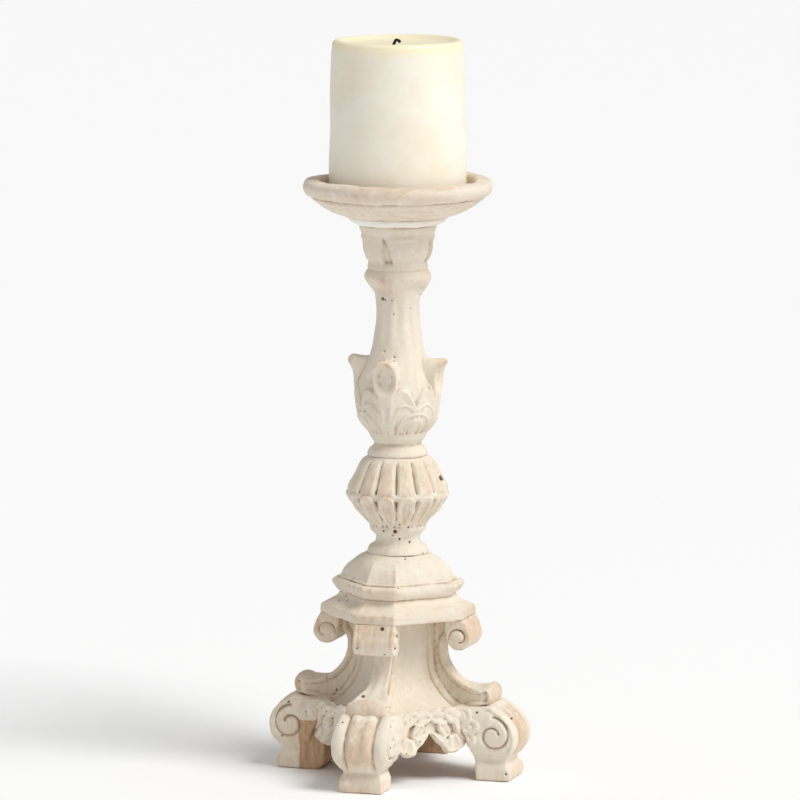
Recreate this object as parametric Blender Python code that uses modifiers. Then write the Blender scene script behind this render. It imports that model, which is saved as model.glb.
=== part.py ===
"""A carved wooden candlestick with a pillar candle.

The stick is a stack on one vertical axis: four scroll feet carry a four-sided core with a scroll bracket
on each corner, then a moulded cornice, a domed block, a fluted knop, a leaf-carved column, a collar and a
turned drip pan. A long screw and a dowel hold the stack together, and a steel pricket holds the candle.
Lengths are in millimetres and are scaled to metres where meshes are made. +Z is up, the floor is Z = 0,
and the four feet point along the diagonals.
"""

import math

import bmesh
import bpy
from mathutils import Matrix

MM = 0.001

# Fits
GAP = 0.3  # between glued faces that meet
HOLE_GAP = 0.3  # around a dowel, a shank or the spike

# Heights of the stacked pieces
BASE_HEIGHT = 89.0  # floor to the underside of the cornice
CORNICE_HEIGHT = 12.0
DOME_HEIGHT = 22.0
KNOP_HEIGHT = 54.5
COLUMN_HEIGHT = 128.0
COLLAR_HEIGHT = 4.2
PAN_HEIGHT = 20.3

# Core: a four-sided block whose faces sweep out to the feet
CORE_BOTTOM = 31.0
CORE_WAIST_FACE = 17.4  # from the axis to a face, at the waist
CORE_FOOT_FACE = 35.8  # the same at the foot of the sweep
SWEEP_TOP = 64.0
SWEEP_BOTTOM = 41.5

# Scroll brackets on the core's corners, in their own radial plane
RIB_HALF_WIDTH = 5.5
BRACKET_HALF_WIDTH = 11.8
VOLUTE_RADIUS = 7.0
VOLUTE_CENTRE = (38.6, 78.6)
RIB_WAIST_RADIUS = 27.2
CURL_RADIUS = 5.6
CURL_CENTRE = (51.5, 47.2)
CURL_HOOK = 1.6  # how far the curl's tip bends back over the rib
SEAT_HEIGHT = 40.6  # the bracket's flat seat on the foot

# Feet
FOOT_HALF_WIDTH = 16.5
FOOT_SCROLL_RADIUS = 13.4
FOOT_SCROLL_CENTRE = (57.3, 26.9)
PAD_HALF_WIDTH = 13.75
PAD_HEIGHT = 8.5
PAD_LENGTH = 17.5
PAD_OUTER_RADIUS = 67.0
NECK_HEIGHT = 11.0
NECK_RADIUS = 63.4
FOOT_DOWEL_RADIUS = 3.0
FOOT_DOWEL_LENGTH = 18.0

# Aprons between the feet
APRON_OUTER_FACE = 42.5
APRON_LOW = 16.0
ARCH_HALF_WIDTH = 8.5
ARCH_TOP = 27.3

# Cornice and dome: squares with cut corners
SLAB_FACE = 37.2
SLAB_CORNER = 11.3  # half the width of a cut corner
COVE_FACE = 28.0
COVE_CORNER = 8.2
LIP_FACE = 30.8
LIP_CORNER = 8.8
DOME_FACE = 26.4
DOME_CORNER = 7.9
DOME_TOP_RADIUS = 17.0

# Turned and carved stem
KNOP_FOOT_RADIUS = 16.6
KNOP_NECK_RADIUS = 12.4
KNOP_RADIUS = 27.6
KNOP_LOBES = 14
KNOP_LOBE_DEPTH = 1.3
KNOP_TOP_RADIUS = 16.6
COLUMN_FOOT_RADIUS = 15.8
COLUMN_NECK_RADIUS = 12.5
BULB_RADIUS = 23.2
SHAFT_RADIUS = 12.8
LEAF_COLLAR_RADIUS = 18.9
CAPITAL_RADIUS = 20.6
LEAF_TIP_REACH = 25.4
LEAF_TIP_HALF_WIDTH = 6.4

# Collar and pan
COLLAR_TOP_RADIUS = 27.0
COLLAR_LOW_RADIUS = 22.4
PAN_RADIUS = 51.3
PAN_RIM_WIDTH = 9.2
PAN_FLOOR_DEPTH = 8.0
PAN_FOOT_RADIUS = 29.0

# Joints hidden in the stack
DOWEL_RADIUS = 6.0
DOWEL_IN_COLUMN = 24.0
TENON_RADIUS = 9.0
TENON_IN_PAN = 7.0
SCREW_RADIUS = 3.0
SCREW_IN_DOWEL = 20.0
SCREW_HEAD_RADIUS = 5.5
SCREW_HEAD_HEIGHT = 4.0
WASHER_RADIUS = 10.0
WASHER_THICKNESS = 1.6

# Pricket and candle
PRICKET_FLANGE_RADIUS = 9.0
PRICKET_FLANGE_THICKNESS = 1.5
PRICKET_BASE_RADIUS = 2.4
PRICKET_TIP_RADIUS = 0.4
PRICKET_HEIGHT = 24.0
SHANK_RADIUS = 2.0
SHANK_LENGTH = 20.0
CANDLE_FOOT_RADIUS = 37.7
CANDLE_TOP_RADIUS = 36.1
CANDLE_HEIGHT = 84.0
CANDLE_EDGE = 2.2  # rounding of the candle's upper rim
POOL_DEPTH = 3.2
POOL_RIM_WIDTH = 4.5
WICK_RADIUS = 0.9
WICK_IN_WAX = 7.0
WICK_ABOVE_POOL = 4.2

# Places that follow from the sizes above
CORNICE_BOTTOM = BASE_HEIGHT
DOME_BOTTOM = CORNICE_BOTTOM + CORNICE_HEIGHT
KNOP_BOTTOM = DOME_BOTTOM + DOME_HEIGHT
COLUMN_BOTTOM = KNOP_BOTTOM + KNOP_HEIGHT
COLLAR_BOTTOM = COLUMN_BOTTOM + COLUMN_HEIGHT
PAN_BOTTOM = COLLAR_BOTTOM + COLLAR_HEIGHT
PAN_TOP = PAN_BOTTOM + PAN_HEIGHT
PAN_FLOOR = PAN_TOP - PAN_FLOOR_DEPTH
CANDLE_BOTTOM = PAN_FLOOR + GAP
CANDLE_TOP = CANDLE_BOTTOM + CANDLE_HEIGHT
POOL_FLOOR = CANDLE_TOP - POOL_DEPTH
CORNERS = {"front_right": -45, "back_right": 45, "back_left": 135, "front_left": -135}
SIDES = {"front": -90, "right": 0, "back": 90, "left": 180}

ROUND_STEPS = 40
SQRT2 = math.sqrt(2)


# ---- tools ----------------------------------------------------------------------------------------

def clear_scene():
    for obj in list(bpy.data.objects):
        bpy.data.objects.remove(obj)


def new_collection(name):
    collection = bpy.data.collections.new(name)
    bpy.context.scene.collection.children.link(collection)
    return collection


def make_material(name, colour, roughness, metallic=0.0):
    material = bpy.data.materials.new(name)
    material.use_nodes = True
    shader = material.node_tree.nodes["Principled BSDF"]
    shader.inputs["Base Color"].default_value = (*colour, 1)
    shader.inputs["Roughness"].default_value = roughness
    shader.inputs["Metallic"].default_value = metallic
    return material


def place(name, mesh, material, turn=0.0):
    """An object in the candlestick's collection, turned about the stick's axis by degrees."""
    obj = bpy.data.objects.new(name, mesh)
    obj.rotation_euler[2] = math.radians(turn)
    if not mesh.materials:
        mesh.materials.append(material)
    PARTS.objects.link(obj)
    return obj


def arc(centre, radius, start, end, count):
    """Points on an arc in a flat plane, from one angle to another in degrees."""
    angles = [math.radians(start + (end - start) * i / count) for i in range(count + 1)]
    return [(centre[0] + radius * math.cos(a), centre[1] + radius * math.sin(a)) for a in angles]


def bezier(a, b, c, d, count):
    """Points on a cubic curve from a to d, without a itself."""
    points = []
    for i in range(1, count + 1):
        t = i / count
        w = ((1 - t) ** 3, 3 * t * (1 - t) ** 2, 3 * t * t * (1 - t), t**3)
        points.append(tuple(sum(k * p[j] for k, p in zip(w, (a, b, c, d))) for j in range(2)))
    return points


def baked(obj):
    """The object's mesh with its modifiers applied; the object itself is removed."""
    bpy.context.view_layer.update()
    graph = bpy.context.evaluated_depsgraph_get()
    mesh = bpy.data.meshes.new_from_object(obj.evaluated_get(graph), depsgraph=graph)
    mesh.transform(obj.matrix_world)
    bpy.data.objects.remove(obj)
    return mesh


def combined(mesh, operation, other):
    """One mesh after a Boolean with another."""
    first = bpy.data.objects.new("shape", mesh)
    second = bpy.data.objects.new("cutter", other)
    for obj in (first, second):
        WORK.objects.link(obj)
    boolean = first.modifiers.new("boolean", "BOOLEAN")
    boolean.operation = operation
    boolean.object = second
    result = baked(first)
    bpy.data.objects.remove(second)
    return result


def smooth(mesh, degrees=35):
    mesh.shade_smooth()
    mesh.set_sharp_from_angle(angle=math.radians(degrees))
    return mesh


def outward(mesh):
    """Turn every face of a closed mesh outwards."""
    work = bmesh.new()
    work.from_mesh(mesh)
    bmesh.ops.recalc_face_normals(work, faces=work.faces)
    work.to_mesh(mesh)
    work.free()
    return mesh


def turned(profile, steps=ROUND_STEPS, closed=False):
    """A mesh turned about Z from (radius, height) points that run down the outer side."""
    mesh = bpy.data.meshes.new("profile")
    points = [(r * MM, 0, z * MM) for r, z in profile]
    edges = [(i, i + 1) for i in range(len(points) - 1)]
    if closed:
        edges.append((len(points) - 1, 0))
    mesh.from_pydata(points, edges, [])
    obj = bpy.data.objects.new("profile", mesh)
    WORK.objects.link(obj)
    screw = obj.modifiers.new("screw", "SCREW")
    screw.steps = screw.render_steps = steps
    screw.use_merge_vertices = True
    screw.merge_threshold = 0.00005
    return smooth(outward(baked(obj)))


def cylinder(radius, low, high, centre=(0, 0), steps=24):
    """A closed cylinder mesh between two heights."""
    work = bmesh.new()
    middle = Matrix.Translation((centre[0] * MM, centre[1] * MM, (low + high) / 2 * MM))
    bmesh.ops.create_cone(
        work, cap_ends=True, segments=steps, radius1=radius * MM, radius2=radius * MM,
        depth=(high - low) * MM, matrix=middle,
    )
    mesh = bpy.data.meshes.new("cylinder")
    work.to_mesh(mesh)
    work.free()
    return mesh


def prism(outline, half_width):
    """A flat (radius, height) outline made solid across the radial plane, along Y."""
    curve = bpy.data.curves.new("outline", "CURVE")
    curve.dimensions = "2D"
    curve.fill_mode = "BOTH"
    curve.extrude = half_width * MM
    spline = curve.splines.new("POLY")
    spline.points.add(len(outline) - 1)
    for point, (x, z) in zip(spline.points, outline):
        point.co = (x * MM, z * MM, 0, 1)
    spline.use_cyclic_u = True
    obj = bpy.data.objects.new("outline", curve)
    obj.rotation_euler[0] = math.radians(90)
    WORK.objects.link(obj)
    mesh = baked(obj)
    work = bmesh.new()
    work.from_mesh(mesh)
    bmesh.ops.remove_doubles(work, verts=work.verts, dist=0.00001)
    work.to_mesh(mesh)
    work.free()
    return outward(mesh)


def lofted(rings):
    """A closed mesh through rings of equal length, with a flat face on the first and the last."""
    work = bmesh.new()
    rows = [[work.verts.new((x * MM, y * MM, z * MM)) for x, y, z in ring] for ring in rings]
    count = len(rings[0])
    for low, high in zip(rows, rows[1:]):
        for i in range(count):
            j = (i + 1) % count
            work.faces.new((low[i], low[j], high[j], high[i]))
    work.faces.new(rows[0])
    work.faces.new(rows[-1])
    mesh = bpy.data.meshes.new("loft")
    work.to_mesh(mesh)
    work.free()
    return outward(mesh)


def cut_square(height, face, corner, roundness=0.0, radius=0.0, per_edge=4):
    """A ring: a square with its corners cut, blended towards a circle by roundness from 0 to 1."""
    flat = face - corner * SQRT2
    ends = [(face, -flat), (face, flat), (flat, face)]
    ring = []
    for quarter in range(4):
        turn = quarter * math.pi / 2
        for a, b in zip(ends, ends[1:]):
            for i in range(per_edge):
                t = i / per_edge
                x, y = (a[k] + (b[k] - a[k]) * t for k in range(2))
                reach = math.hypot(x, y) * (1 - roundness) + radius * roundness
                angle = math.atan2(y, x) + turn
                ring.append((reach * math.cos(angle), reach * math.sin(angle), height))
    return ring


def bored(mesh, *holes):
    """The mesh less round holes, each (radius, low, high)."""
    for radius, low, high in holes:
        mesh = combined(mesh, "DIFFERENCE", cylinder(radius, low, high))
    return mesh


# ---- base -----------------------------------------------------------------------------------------

def sweep_face(height):
    """Distance from the axis to the core's face: upright above, swept out to the feet below."""
    share = min(1.0, max(0.0, (SWEEP_TOP - height) / (SWEEP_TOP - SWEEP_BOTTOM)))
    return CORE_WAIST_FACE + (CORE_FOOT_FACE - CORE_WAIST_FACE) * (1 - math.sqrt(1 - share**1.9))


def sweep_corner(height):
    """Half the width of the core's cut corner, where the rib of a bracket sits."""
    share = (sweep_face(height) - CORE_WAIST_FACE) / (CORE_FOOT_FACE - CORE_WAIST_FACE)
    return RIB_HALF_WIDTH + (BRACKET_HALF_WIDTH - RIB_HALF_WIDTH) * share


def seat_radius(height):
    """Distance from the axis to the core's cut corner."""
    return sweep_face(height) * SQRT2 - sweep_corner(height)


def sweep_heights(count=8):
    """Heights from the sweep's foot up to its top, closer together where it curves most."""
    return [SWEEP_BOTTOM + (SWEEP_TOP - SWEEP_BOTTOM) * (i / count) ** 1.6 for i in range(count + 1)]


def build_core():
    heights = [CORE_BOTTOM, *sweep_heights(), BASE_HEIGHT - GAP]
    rings = [cut_square(z, sweep_face(z), sweep_corner(z), per_edge=1) for z in heights]
    head_room = SCREW_HEAD_HEIGHT + WASHER_THICKNESS + 2 * GAP
    mesh = bored(
        lofted(rings),
        (SCREW_RADIUS + HOLE_GAP, CORE_BOTTOM - 5, BASE_HEIGHT + 5),
        (WASHER_RADIUS + HOLE_GAP, CORE_BOTTOM - 5, CORE_BOTTOM + head_room),
    )
    for turn in CORNERS.values():
        mesh = combined(mesh, "DIFFERENCE", foot_dowel_hole(turn))
    place("base_core", mesh, WHITEWASH)


def foot_dowel_span():
    """Inner and outer ends of a foot's dowel, in its radial plane, and its height."""
    middle = foot_inner_radius()
    half = FOOT_DOWEL_LENGTH / 2
    return middle - half, middle + half, (CORE_BOTTOM + SEAT_HEIGHT) / 2


def foot_dowel(radius, spare):
    low, high, height = foot_dowel_span()
    mesh = cylinder(radius, low - spare, high + spare, steps=16)
    mesh.transform(Matrix.Translation((0, 0, height * MM)) @ Matrix.Rotation(math.radians(90), 4, "Y"))
    return mesh


def foot_dowel_hole(turn):
    hole = foot_dowel(FOOT_DOWEL_RADIUS + HOLE_GAP, 1.0)
    hole.transform(Matrix.Rotation(math.radians(turn), 4, "Z"))
    return hole


def foot_inner_radius():
    return seat_radius(SWEEP_BOTTOM) + GAP


def bracket_outline():
    """The bracket's side view: volute on top, concave rib, upturned curl, flat seat on the foot."""
    vr, vz = VOLUTE_CENTRE
    cr, cz = CURL_CENTRE
    top = BASE_HEIGHT - GAP
    inner = [(seat_radius(z) + GAP, z) for z in reversed(sweep_heights())]
    inner = [(seat_radius(top) + GAP, top), *inner, (foot_inner_radius(), SEAT_HEIGHT)]
    curl = arc(CURL_CENTRE, CURL_RADIUS, -85, 90, 8)
    tip = [(cr - CURL_HOOK, cz + CURL_RADIUS - 0.6), (cr - 2.2, cz + CURL_RADIUS - 1.8)]
    waist_z = vz - VOLUTE_RADIUS - 4.5
    rib = bezier(
        tip[-1], (cr - 14, cz + 1.6), (RIB_WAIST_RADIUS + 0.5, waist_z - 12), (RIB_WAIST_RADIUS, waist_z), 12
    )
    crevice = [(RIB_WAIST_RADIUS + 2.4, vz - VOLUTE_RADIUS + 2.0)]
    volute = arc(VOLUTE_CENTRE, VOLUTE_RADIUS, -120, 60, 12)
    return [*inner, *curl, *tip, *rib, *crevice, *volute, (vr + 3.0, top)]


def bracket_plan():
    """Top view of the rib and curl: narrow at the core, as wide as the volute at the curl."""
    start = (0.0, -RIB_HALF_WIDTH)
    knee = (RIB_WAIST_RADIUS + 3.0, -RIB_HALF_WIDTH)
    wide = (CURL_CENTRE[0] - 2.0, -BRACKET_HALF_WIDTH)
    side = [start, knee, *bezier(knee, (knee[0] + 8, knee[1]), (wide[0] - 8, wide[1]), wide, 8)]
    side.append((CURL_CENTRE[0] + 3 * CURL_RADIUS, -BRACKET_HALF_WIDTH))
    return side + [(r, -w) for r, w in reversed(side)]


def build_brackets():
    full = prism(bracket_outline(), BRACKET_HALF_WIDTH)
    waist_z = VOLUTE_CENTRE[1] - VOLUTE_RADIUS - 1.0
    plan = lofted([[(r, w, z) for r, w in bracket_plan()] for z in (SEAT_HEIGHT - 5, waist_z)])
    head = lofted([
        [(r, w, z) for r, w in (
            (0, -BRACKET_HALF_WIDTH - 1), (99, -BRACKET_HALF_WIDTH - 1),
            (99, BRACKET_HALF_WIDTH + 1), (0, BRACKET_HALF_WIDTH + 1))]
        for z in (waist_z - 0.5, BASE_HEIGHT + 5)
    ])
    envelope = combined(plan, "UNION", head)
    mesh = smooth(combined(full, "INTERSECT", envelope), 30)
    face = CORE_WAIST_FACE + GAP
    mesh = combined(mesh, "DIFFERENCE", core_wedge(face))
    for corner, turn in CORNERS.items():
        place(f"scroll_bracket_{corner}", mesh, WHITEWASH, turn)


def core_wedge(face):
    """The core's upright faces with their clearance, seen from a corner, as a cutter for the volutes."""
    reach = (face * SQRT2 - RIB_HALF_WIDTH) + GAP
    ring = [(-20, -40), (face * SQRT2 - 40, -40), (reach, -RIB_HALF_WIDTH - 0.1),
            (reach, RIB_HALF_WIDTH + 0.1), (face * SQRT2 - 40, 40), (-20, 40)]
    return lofted([[(x, y, z) for x, y in ring] for z in (SWEEP_TOP, BASE_HEIGHT + 5)])


def foot_outline():
    """The foot's side view: a pad, a neck and a big scroll that runs back under the bracket."""
    top = SEAT_HEIGHT - GAP
    inner = foot_inner_radius()
    pad_inner = PAD_OUTER_RADIUS - PAD_LENGTH
    pad = [(pad_inner, 0), (PAD_OUTER_RADIUS - 0.8, 0), (PAD_OUTER_RADIUS, 1.2),
           (PAD_OUTER_RADIUS - 0.4, PAD_HEIGHT - 2.2), (NECK_RADIUS + 0.6, PAD_HEIGHT), (NECK_RADIUS, NECK_HEIGHT)]
    scroll = arc(FOOT_SCROLL_CENTRE, FOOT_SCROLL_RADIUS, -48, 78, 12)
    clear = CURL_RADIUS + 3 * GAP
    notch = [(CURL_CENTRE[0] + clear * math.cos(math.radians(a)), CURL_CENTRE[1] + clear * math.sin(math.radians(a)))
             for a in (-38, -62)]
    back = [(CURL_CENTRE[0] + 1.0, top), (inner, top), (inner, CORE_BOTTOM)]
    return [*pad, *scroll, *notch, *back, (pad_inner - 2.0, CORE_BOTTOM - 8)]


def foot_front():
    """The foot's front view: a wide scroll over a narrower neck and pad."""
    sz = FOOT_SCROLL_CENTRE[1]
    side = [
        (PAD_HALF_WIDTH, -1), (PAD_HALF_WIDTH, PAD_HEIGHT - 1.5), (PAD_HALF_WIDTH - 2.4, PAD_HEIGHT + 1.2),
        (PAD_HALF_WIDTH - 2.4, NECK_HEIGHT), (FOOT_HALF_WIDTH - 1.2, sz - 8.0),
        (FOOT_HALF_WIDTH, sz - 3.0), (FOOT_HALF_WIDTH, sz + 4.0),
        (BRACKET_HALF_WIDTH + 2.0, sz + FOOT_SCROLL_RADIUS - 1.0), (BRACKET_HALF_WIDTH + 1.0, SEAT_HEIGHT + 20),
    ]
    return side + [(-w, z) for w, z in reversed(side)]


def build_feet():
    body = prism(foot_outline(), FOOT_HALF_WIDTH + 1)
    front = lofted([[(r, w, z) for w, z in foot_front()] for r in (0, 99)])
    mesh = smooth(combined(body, "INTERSECT", front), 30)
    mesh = combined(mesh, "DIFFERENCE", foot_dowel(FOOT_DOWEL_RADIUS + HOLE_GAP, 1.0))
    for corner, turn in CORNERS.items():
        place(f"scroll_foot_{corner}", mesh, WHITEWASH, turn)
    dowel = smooth(foot_dowel(FOOT_DOWEL_RADIUS, 0.0))
    for corner, turn in CORNERS.items():
        place(f"foot_dowel_{corner}", dowel, BARE_WOOD, turn)


def apron_outline(half_length):
    """Front view of an apron, (along, height): a leafy edge hangs at both ends of a small arch."""
    low, top = APRON_LOW, SWEEP_BOTTOM
    lobe = half_length - (half_length - ARCH_HALF_WIDTH) * 0.35
    arch = bezier((ARCH_HALF_WIDTH * 0.8, low + 4), (ARCH_HALF_WIDTH * 0.7, ARCH_TOP),
                  (2.5, ARCH_TOP), (0, ARCH_TOP), 5)
    right = [(half_length, top), (half_length, low + 5), (lobe, low), (ARCH_HALF_WIDTH, low + 0.6),
             (ARCH_HALF_WIDTH * 0.8, low + 4), *arch]
    return right + [(-s, z) for s, z in reversed(right[:-1])]


def build_aprons():
    inner_face = CORE_FOOT_FACE + GAP
    clear = (FOOT_HALF_WIDTH + GAP) * SQRT2
    rings = []
    for face in (inner_face, APRON_OUTER_FACE):
        rings.append([(face, s, z) for s, z in apron_outline(face - clear)])
    mesh = lofted(rings)
    for side, turn in SIDES.items():
        place(f"leaf_apron_{side}", mesh, WHITEWASH, turn)


def build_cornice():
    z, h = CORNICE_BOTTOM, CORNICE_HEIGHT
    levels = [
        (0.0, SLAB_FACE, SLAB_CORNER), (0.5, SLAB_FACE, SLAB_CORNER), (0.58, SLAB_FACE - 1.0, SLAB_CORNER - 0.4),
        (0.74, COVE_FACE + 5.0, COVE_CORNER + 1.7), (0.9, COVE_FACE + 1.4, COVE_CORNER + 0.4),
        (1.0, COVE_FACE, COVE_CORNER),
    ]
    rings = [cut_square(z + h * share - (GAP if share == 1 else 0), face, corner, per_edge=1)
             for share, face, corner in levels]
    mesh = bored(lofted(rings), (SCREW_RADIUS + HOLE_GAP, z - 5, z + h + 5))
    place("cornice", mesh, WHITEWASH)


def build_dome():
    z, h = DOME_BOTTOM, DOME_HEIGHT - GAP
    levels = [
        (0.0, LIP_FACE - 2.2, LIP_CORNER - 0.6, 0.0), (0.12, LIP_FACE, LIP_CORNER, 0.0),
        (0.31, LIP_FACE, LIP_CORNER, 0.0), (0.37, DOME_FACE + 0.3, DOME_CORNER, 0.0),
        (0.5, DOME_FACE * 0.93, DOME_CORNER * 0.96, 0.05), (0.64, DOME_FACE * 0.85, DOME_CORNER * 0.92, 0.2),
        (0.77, DOME_FACE * 0.76, DOME_CORNER * 0.9, 0.5), (0.9, DOME_FACE * 0.68, DOME_CORNER * 0.85, 0.85),
        (1.0, DOME_TOP_RADIUS, DOME_CORNER * 0.7, 1.0),
    ]
    rings = [cut_square(z + h * share, face, corner, roundness, max(face, DOME_TOP_RADIUS), 4)
             for share, face, corner, roundness in levels]
    mesh = bored(lofted(rings), (DOWEL_RADIUS + HOLE_GAP, z - 5, z + h + 5))
    place("dome_block", mesh, WHITEWASH)


# ---- stem -----------------------------------------------------------------------------------------

def knop_ring(height, radius, depth):
    """A ring with one lobe per flute."""
    count = KNOP_LOBES * 6
    ring = []
    for i in range(count):
        angle = 2 * math.pi * i / count
        valley = abs(math.cos(KNOP_LOBES * angle / 2)) ** 4
        r = radius - depth * valley
        ring.append((r * math.cos(angle), r * math.sin(angle), height))
    return ring


def build_knop():
    z, h = KNOP_BOTTOM, KNOP_HEIGHT - GAP
    levels = [
        (0.0, KNOP_FOOT_RADIUS, 0), (0.07, KNOP_FOOT_RADIUS - 0.2, 0), (0.13, KNOP_NECK_RADIUS + 0.9, 0),
        (0.17, KNOP_NECK_RADIUS, 0), (0.21, KNOP_NECK_RADIUS + 1.0, 0), (0.245, KNOP_NECK_RADIUS + 2.7, 0),
        (0.295, KNOP_NECK_RADIUS + 2.9, 0.2), (0.45, KNOP_RADIUS - 5.2, 1), (0.585, KNOP_RADIUS, 1),
        (0.63, KNOP_RADIUS, 1), (0.68, KNOP_RADIUS - 0.8, 1), (0.8, KNOP_RADIUS - 3.4, 1),
        (0.9, KNOP_RADIUS - 7.0, 0.8), (0.955, KNOP_TOP_RADIUS + 1.0, 0.3), (1.0, KNOP_TOP_RADIUS, 0),
    ]
    rings = [knop_ring(z + h * share, radius, KNOP_LOBE_DEPTH * lobe) for share, radius, lobe in levels]
    mesh = bored(smooth(lofted(rings)), (DOWEL_RADIUS + HOLE_GAP, z - 5, z + h + 5))
    place("fluted_knop", mesh, WHITEWASH)


def leaf_tip():
    """One acanthus tip: a tongue that rises off the bulb and bends outwards, along +X."""
    z = COLUMN_BOTTOM + COLUMN_HEIGHT * 0.33
    rise = COLUMN_HEIGHT * 0.115
    spine = [(BULB_RADIUS - 2.4, 0.0, 1.0), (BULB_RADIUS - 2.2, 0.45, 0.95), (BULB_RADIUS - 1.6, 0.8, 1.0),
             (LEAF_TIP_REACH - 2.0, 1.0, 0.85), (LEAF_TIP_REACH - 0.2, 0.86, 0.4)]
    thick = 1.8
    rings = []
    for i, (r, share, width) in enumerate(spine):
        lean = max(0.0, i - 2) * 0.55
        out, up = math.cos(lean) * thick, math.sin(lean) * thick
        w = LEAF_TIP_HALF_WIDTH * width
        height = z + rise * share
        rings.append([
            (r, -w, height), (r, 0, height - up * 0.2), (r, w, height),
            (r - out, w, height + up), (r - out * 1.3, 0, height + up), (r - out, -w, height + up),
        ])
    return lofted(rings)


def column_profile():
    """The column's turned outline with its top tenon, from the tenon's top down."""
    z, h = COLUMN_BOTTOM, COLUMN_HEIGHT
    shoulder = COLLAR_BOTTOM - GAP
    levels = [
        (0.985, CAPITAL_RADIUS + 1.6), (0.965, CAPITAL_RADIUS), (0.885, CAPITAL_RADIUS - 0.6),
        (0.855, CAPITAL_RADIUS - 2.4), (0.838, CAPITAL_RADIUS - 4.2), (0.81, CAPITAL_RADIUS - 4.2),
        (0.795, LEAF_COLLAR_RADIUS - 1.6), (0.765, LEAF_COLLAR_RADIUS), (0.74, LEAF_COLLAR_RADIUS - 1.6),
        (0.71, SHAFT_RADIUS + 2.6), (0.67, SHAFT_RADIUS + 0.6), (0.61, SHAFT_RADIUS),
        (0.55, SHAFT_RADIUS + 0.2), (0.48, SHAFT_RADIUS + 1.6), (0.43, SHAFT_RADIUS + 3.4),
        (0.37, BULB_RADIUS - 3.4), (0.3, BULB_RADIUS), (0.22, BULB_RADIUS), (0.175, BULB_RADIUS - 1.8),
        (0.135, BULB_RADIUS - 5.2), (0.112, COLUMN_NECK_RADIUS + 2.4), (0.09, COLUMN_NECK_RADIUS + 2.2),
        (0.066, COLUMN_NECK_RADIUS), (0.045, COLUMN_NECK_RADIUS), (0.028, COLUMN_FOOT_RADIUS - 1.4),
        (0.012, COLUMN_FOOT_RADIUS), (0.0, COLUMN_FOOT_RADIUS),
    ]
    tenon_top = PAN_BOTTOM + TENON_IN_PAN
    top = [(0, tenon_top), (TENON_RADIUS, tenon_top), (TENON_RADIUS, shoulder), (CAPITAL_RADIUS + 1.6, shoulder)]
    return [*top, *((r, z + h * share) for share, r in levels), (0, z)]


def build_column():
    mesh = turned(column_profile())
    for turn in CORNERS.values():
        tip = leaf_tip()
        tip.transform(Matrix.Rotation(math.radians(turn), 4, "Z"))
        mesh = combined(mesh, "UNION", tip)
    tenon_top = PAN_BOTTOM + TENON_IN_PAN
    pilot = PAN_FLOOR - PRICKET_FLANGE_THICKNESS - SHANK_LENGTH - 2.0
    mesh = bored(
        mesh,
        (DOWEL_RADIUS + HOLE_GAP, COLUMN_BOTTOM - 5, COLUMN_BOTTOM + DOWEL_IN_COLUMN + 1.0),
        (SHANK_RADIUS + HOLE_GAP, pilot, tenon_top + 5),
    )
    place("carved_column", smooth(mesh), WHITEWASH)


def build_collar():
    low, high = COLLAR_BOTTOM, PAN_BOTTOM - GAP
    hole = TENON_RADIUS + HOLE_GAP
    profile = [(hole, high), (COLLAR_TOP_RADIUS - 0.6, high), (COLLAR_TOP_RADIUS, high - 0.8),
               (COLLAR_TOP_RADIUS - 0.6, low + 1.6), (COLLAR_LOW_RADIUS, low), (hole, low)]
    place("pan_collar", turned(profile, closed=True), WHITEWASH)


def build_pan():
    low, high, floor = PAN_BOTTOM, PAN_TOP, PAN_FLOOR
    inner = PAN_RADIUS - PAN_RIM_WIDTH
    seat = floor - PRICKET_FLANGE_THICKNESS - GAP
    socket_top = low + TENON_IN_PAN + GAP
    bowl = bezier((PAN_RADIUS - 1.4, high - 9.2), (PAN_RADIUS - 7.0, high - 15.0),
                  (PAN_FOOT_RADIUS + 8.0, low + 2.6), (PAN_FOOT_RADIUS, low + 0.4), 8)
    profile = [
        (SHANK_RADIUS + HOLE_GAP, seat), (PRICKET_FLANGE_RADIUS + HOLE_GAP, seat),
        (PRICKET_FLANGE_RADIUS + HOLE_GAP, floor), (inner - 1.0, floor), (inner, floor + 1.0),
        (inner + 0.3, high - 0.8), (inner + 1.2, high), (inner + 4.4, high),
        (PAN_RADIUS - 1.6, high - 1.4), (PAN_RADIUS, high - 3.4), (PAN_RADIUS - 0.2, high - 6.4),
        (PAN_RADIUS - 0.9, high - 8.4), (PAN_RADIUS - 1.4, high - 9.2), *bowl,
        (PAN_FOOT_RADIUS - 0.6, low), (TENON_RADIUS + HOLE_GAP, low), (TENON_RADIUS + HOLE_GAP, socket_top),
        (SHANK_RADIUS + HOLE_GAP, socket_top),
    ]
    place("drip_pan", turned(profile, steps=56, closed=True), WHITEWASH)


# ---- fixings --------------------------------------------------------------------------------------

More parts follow.
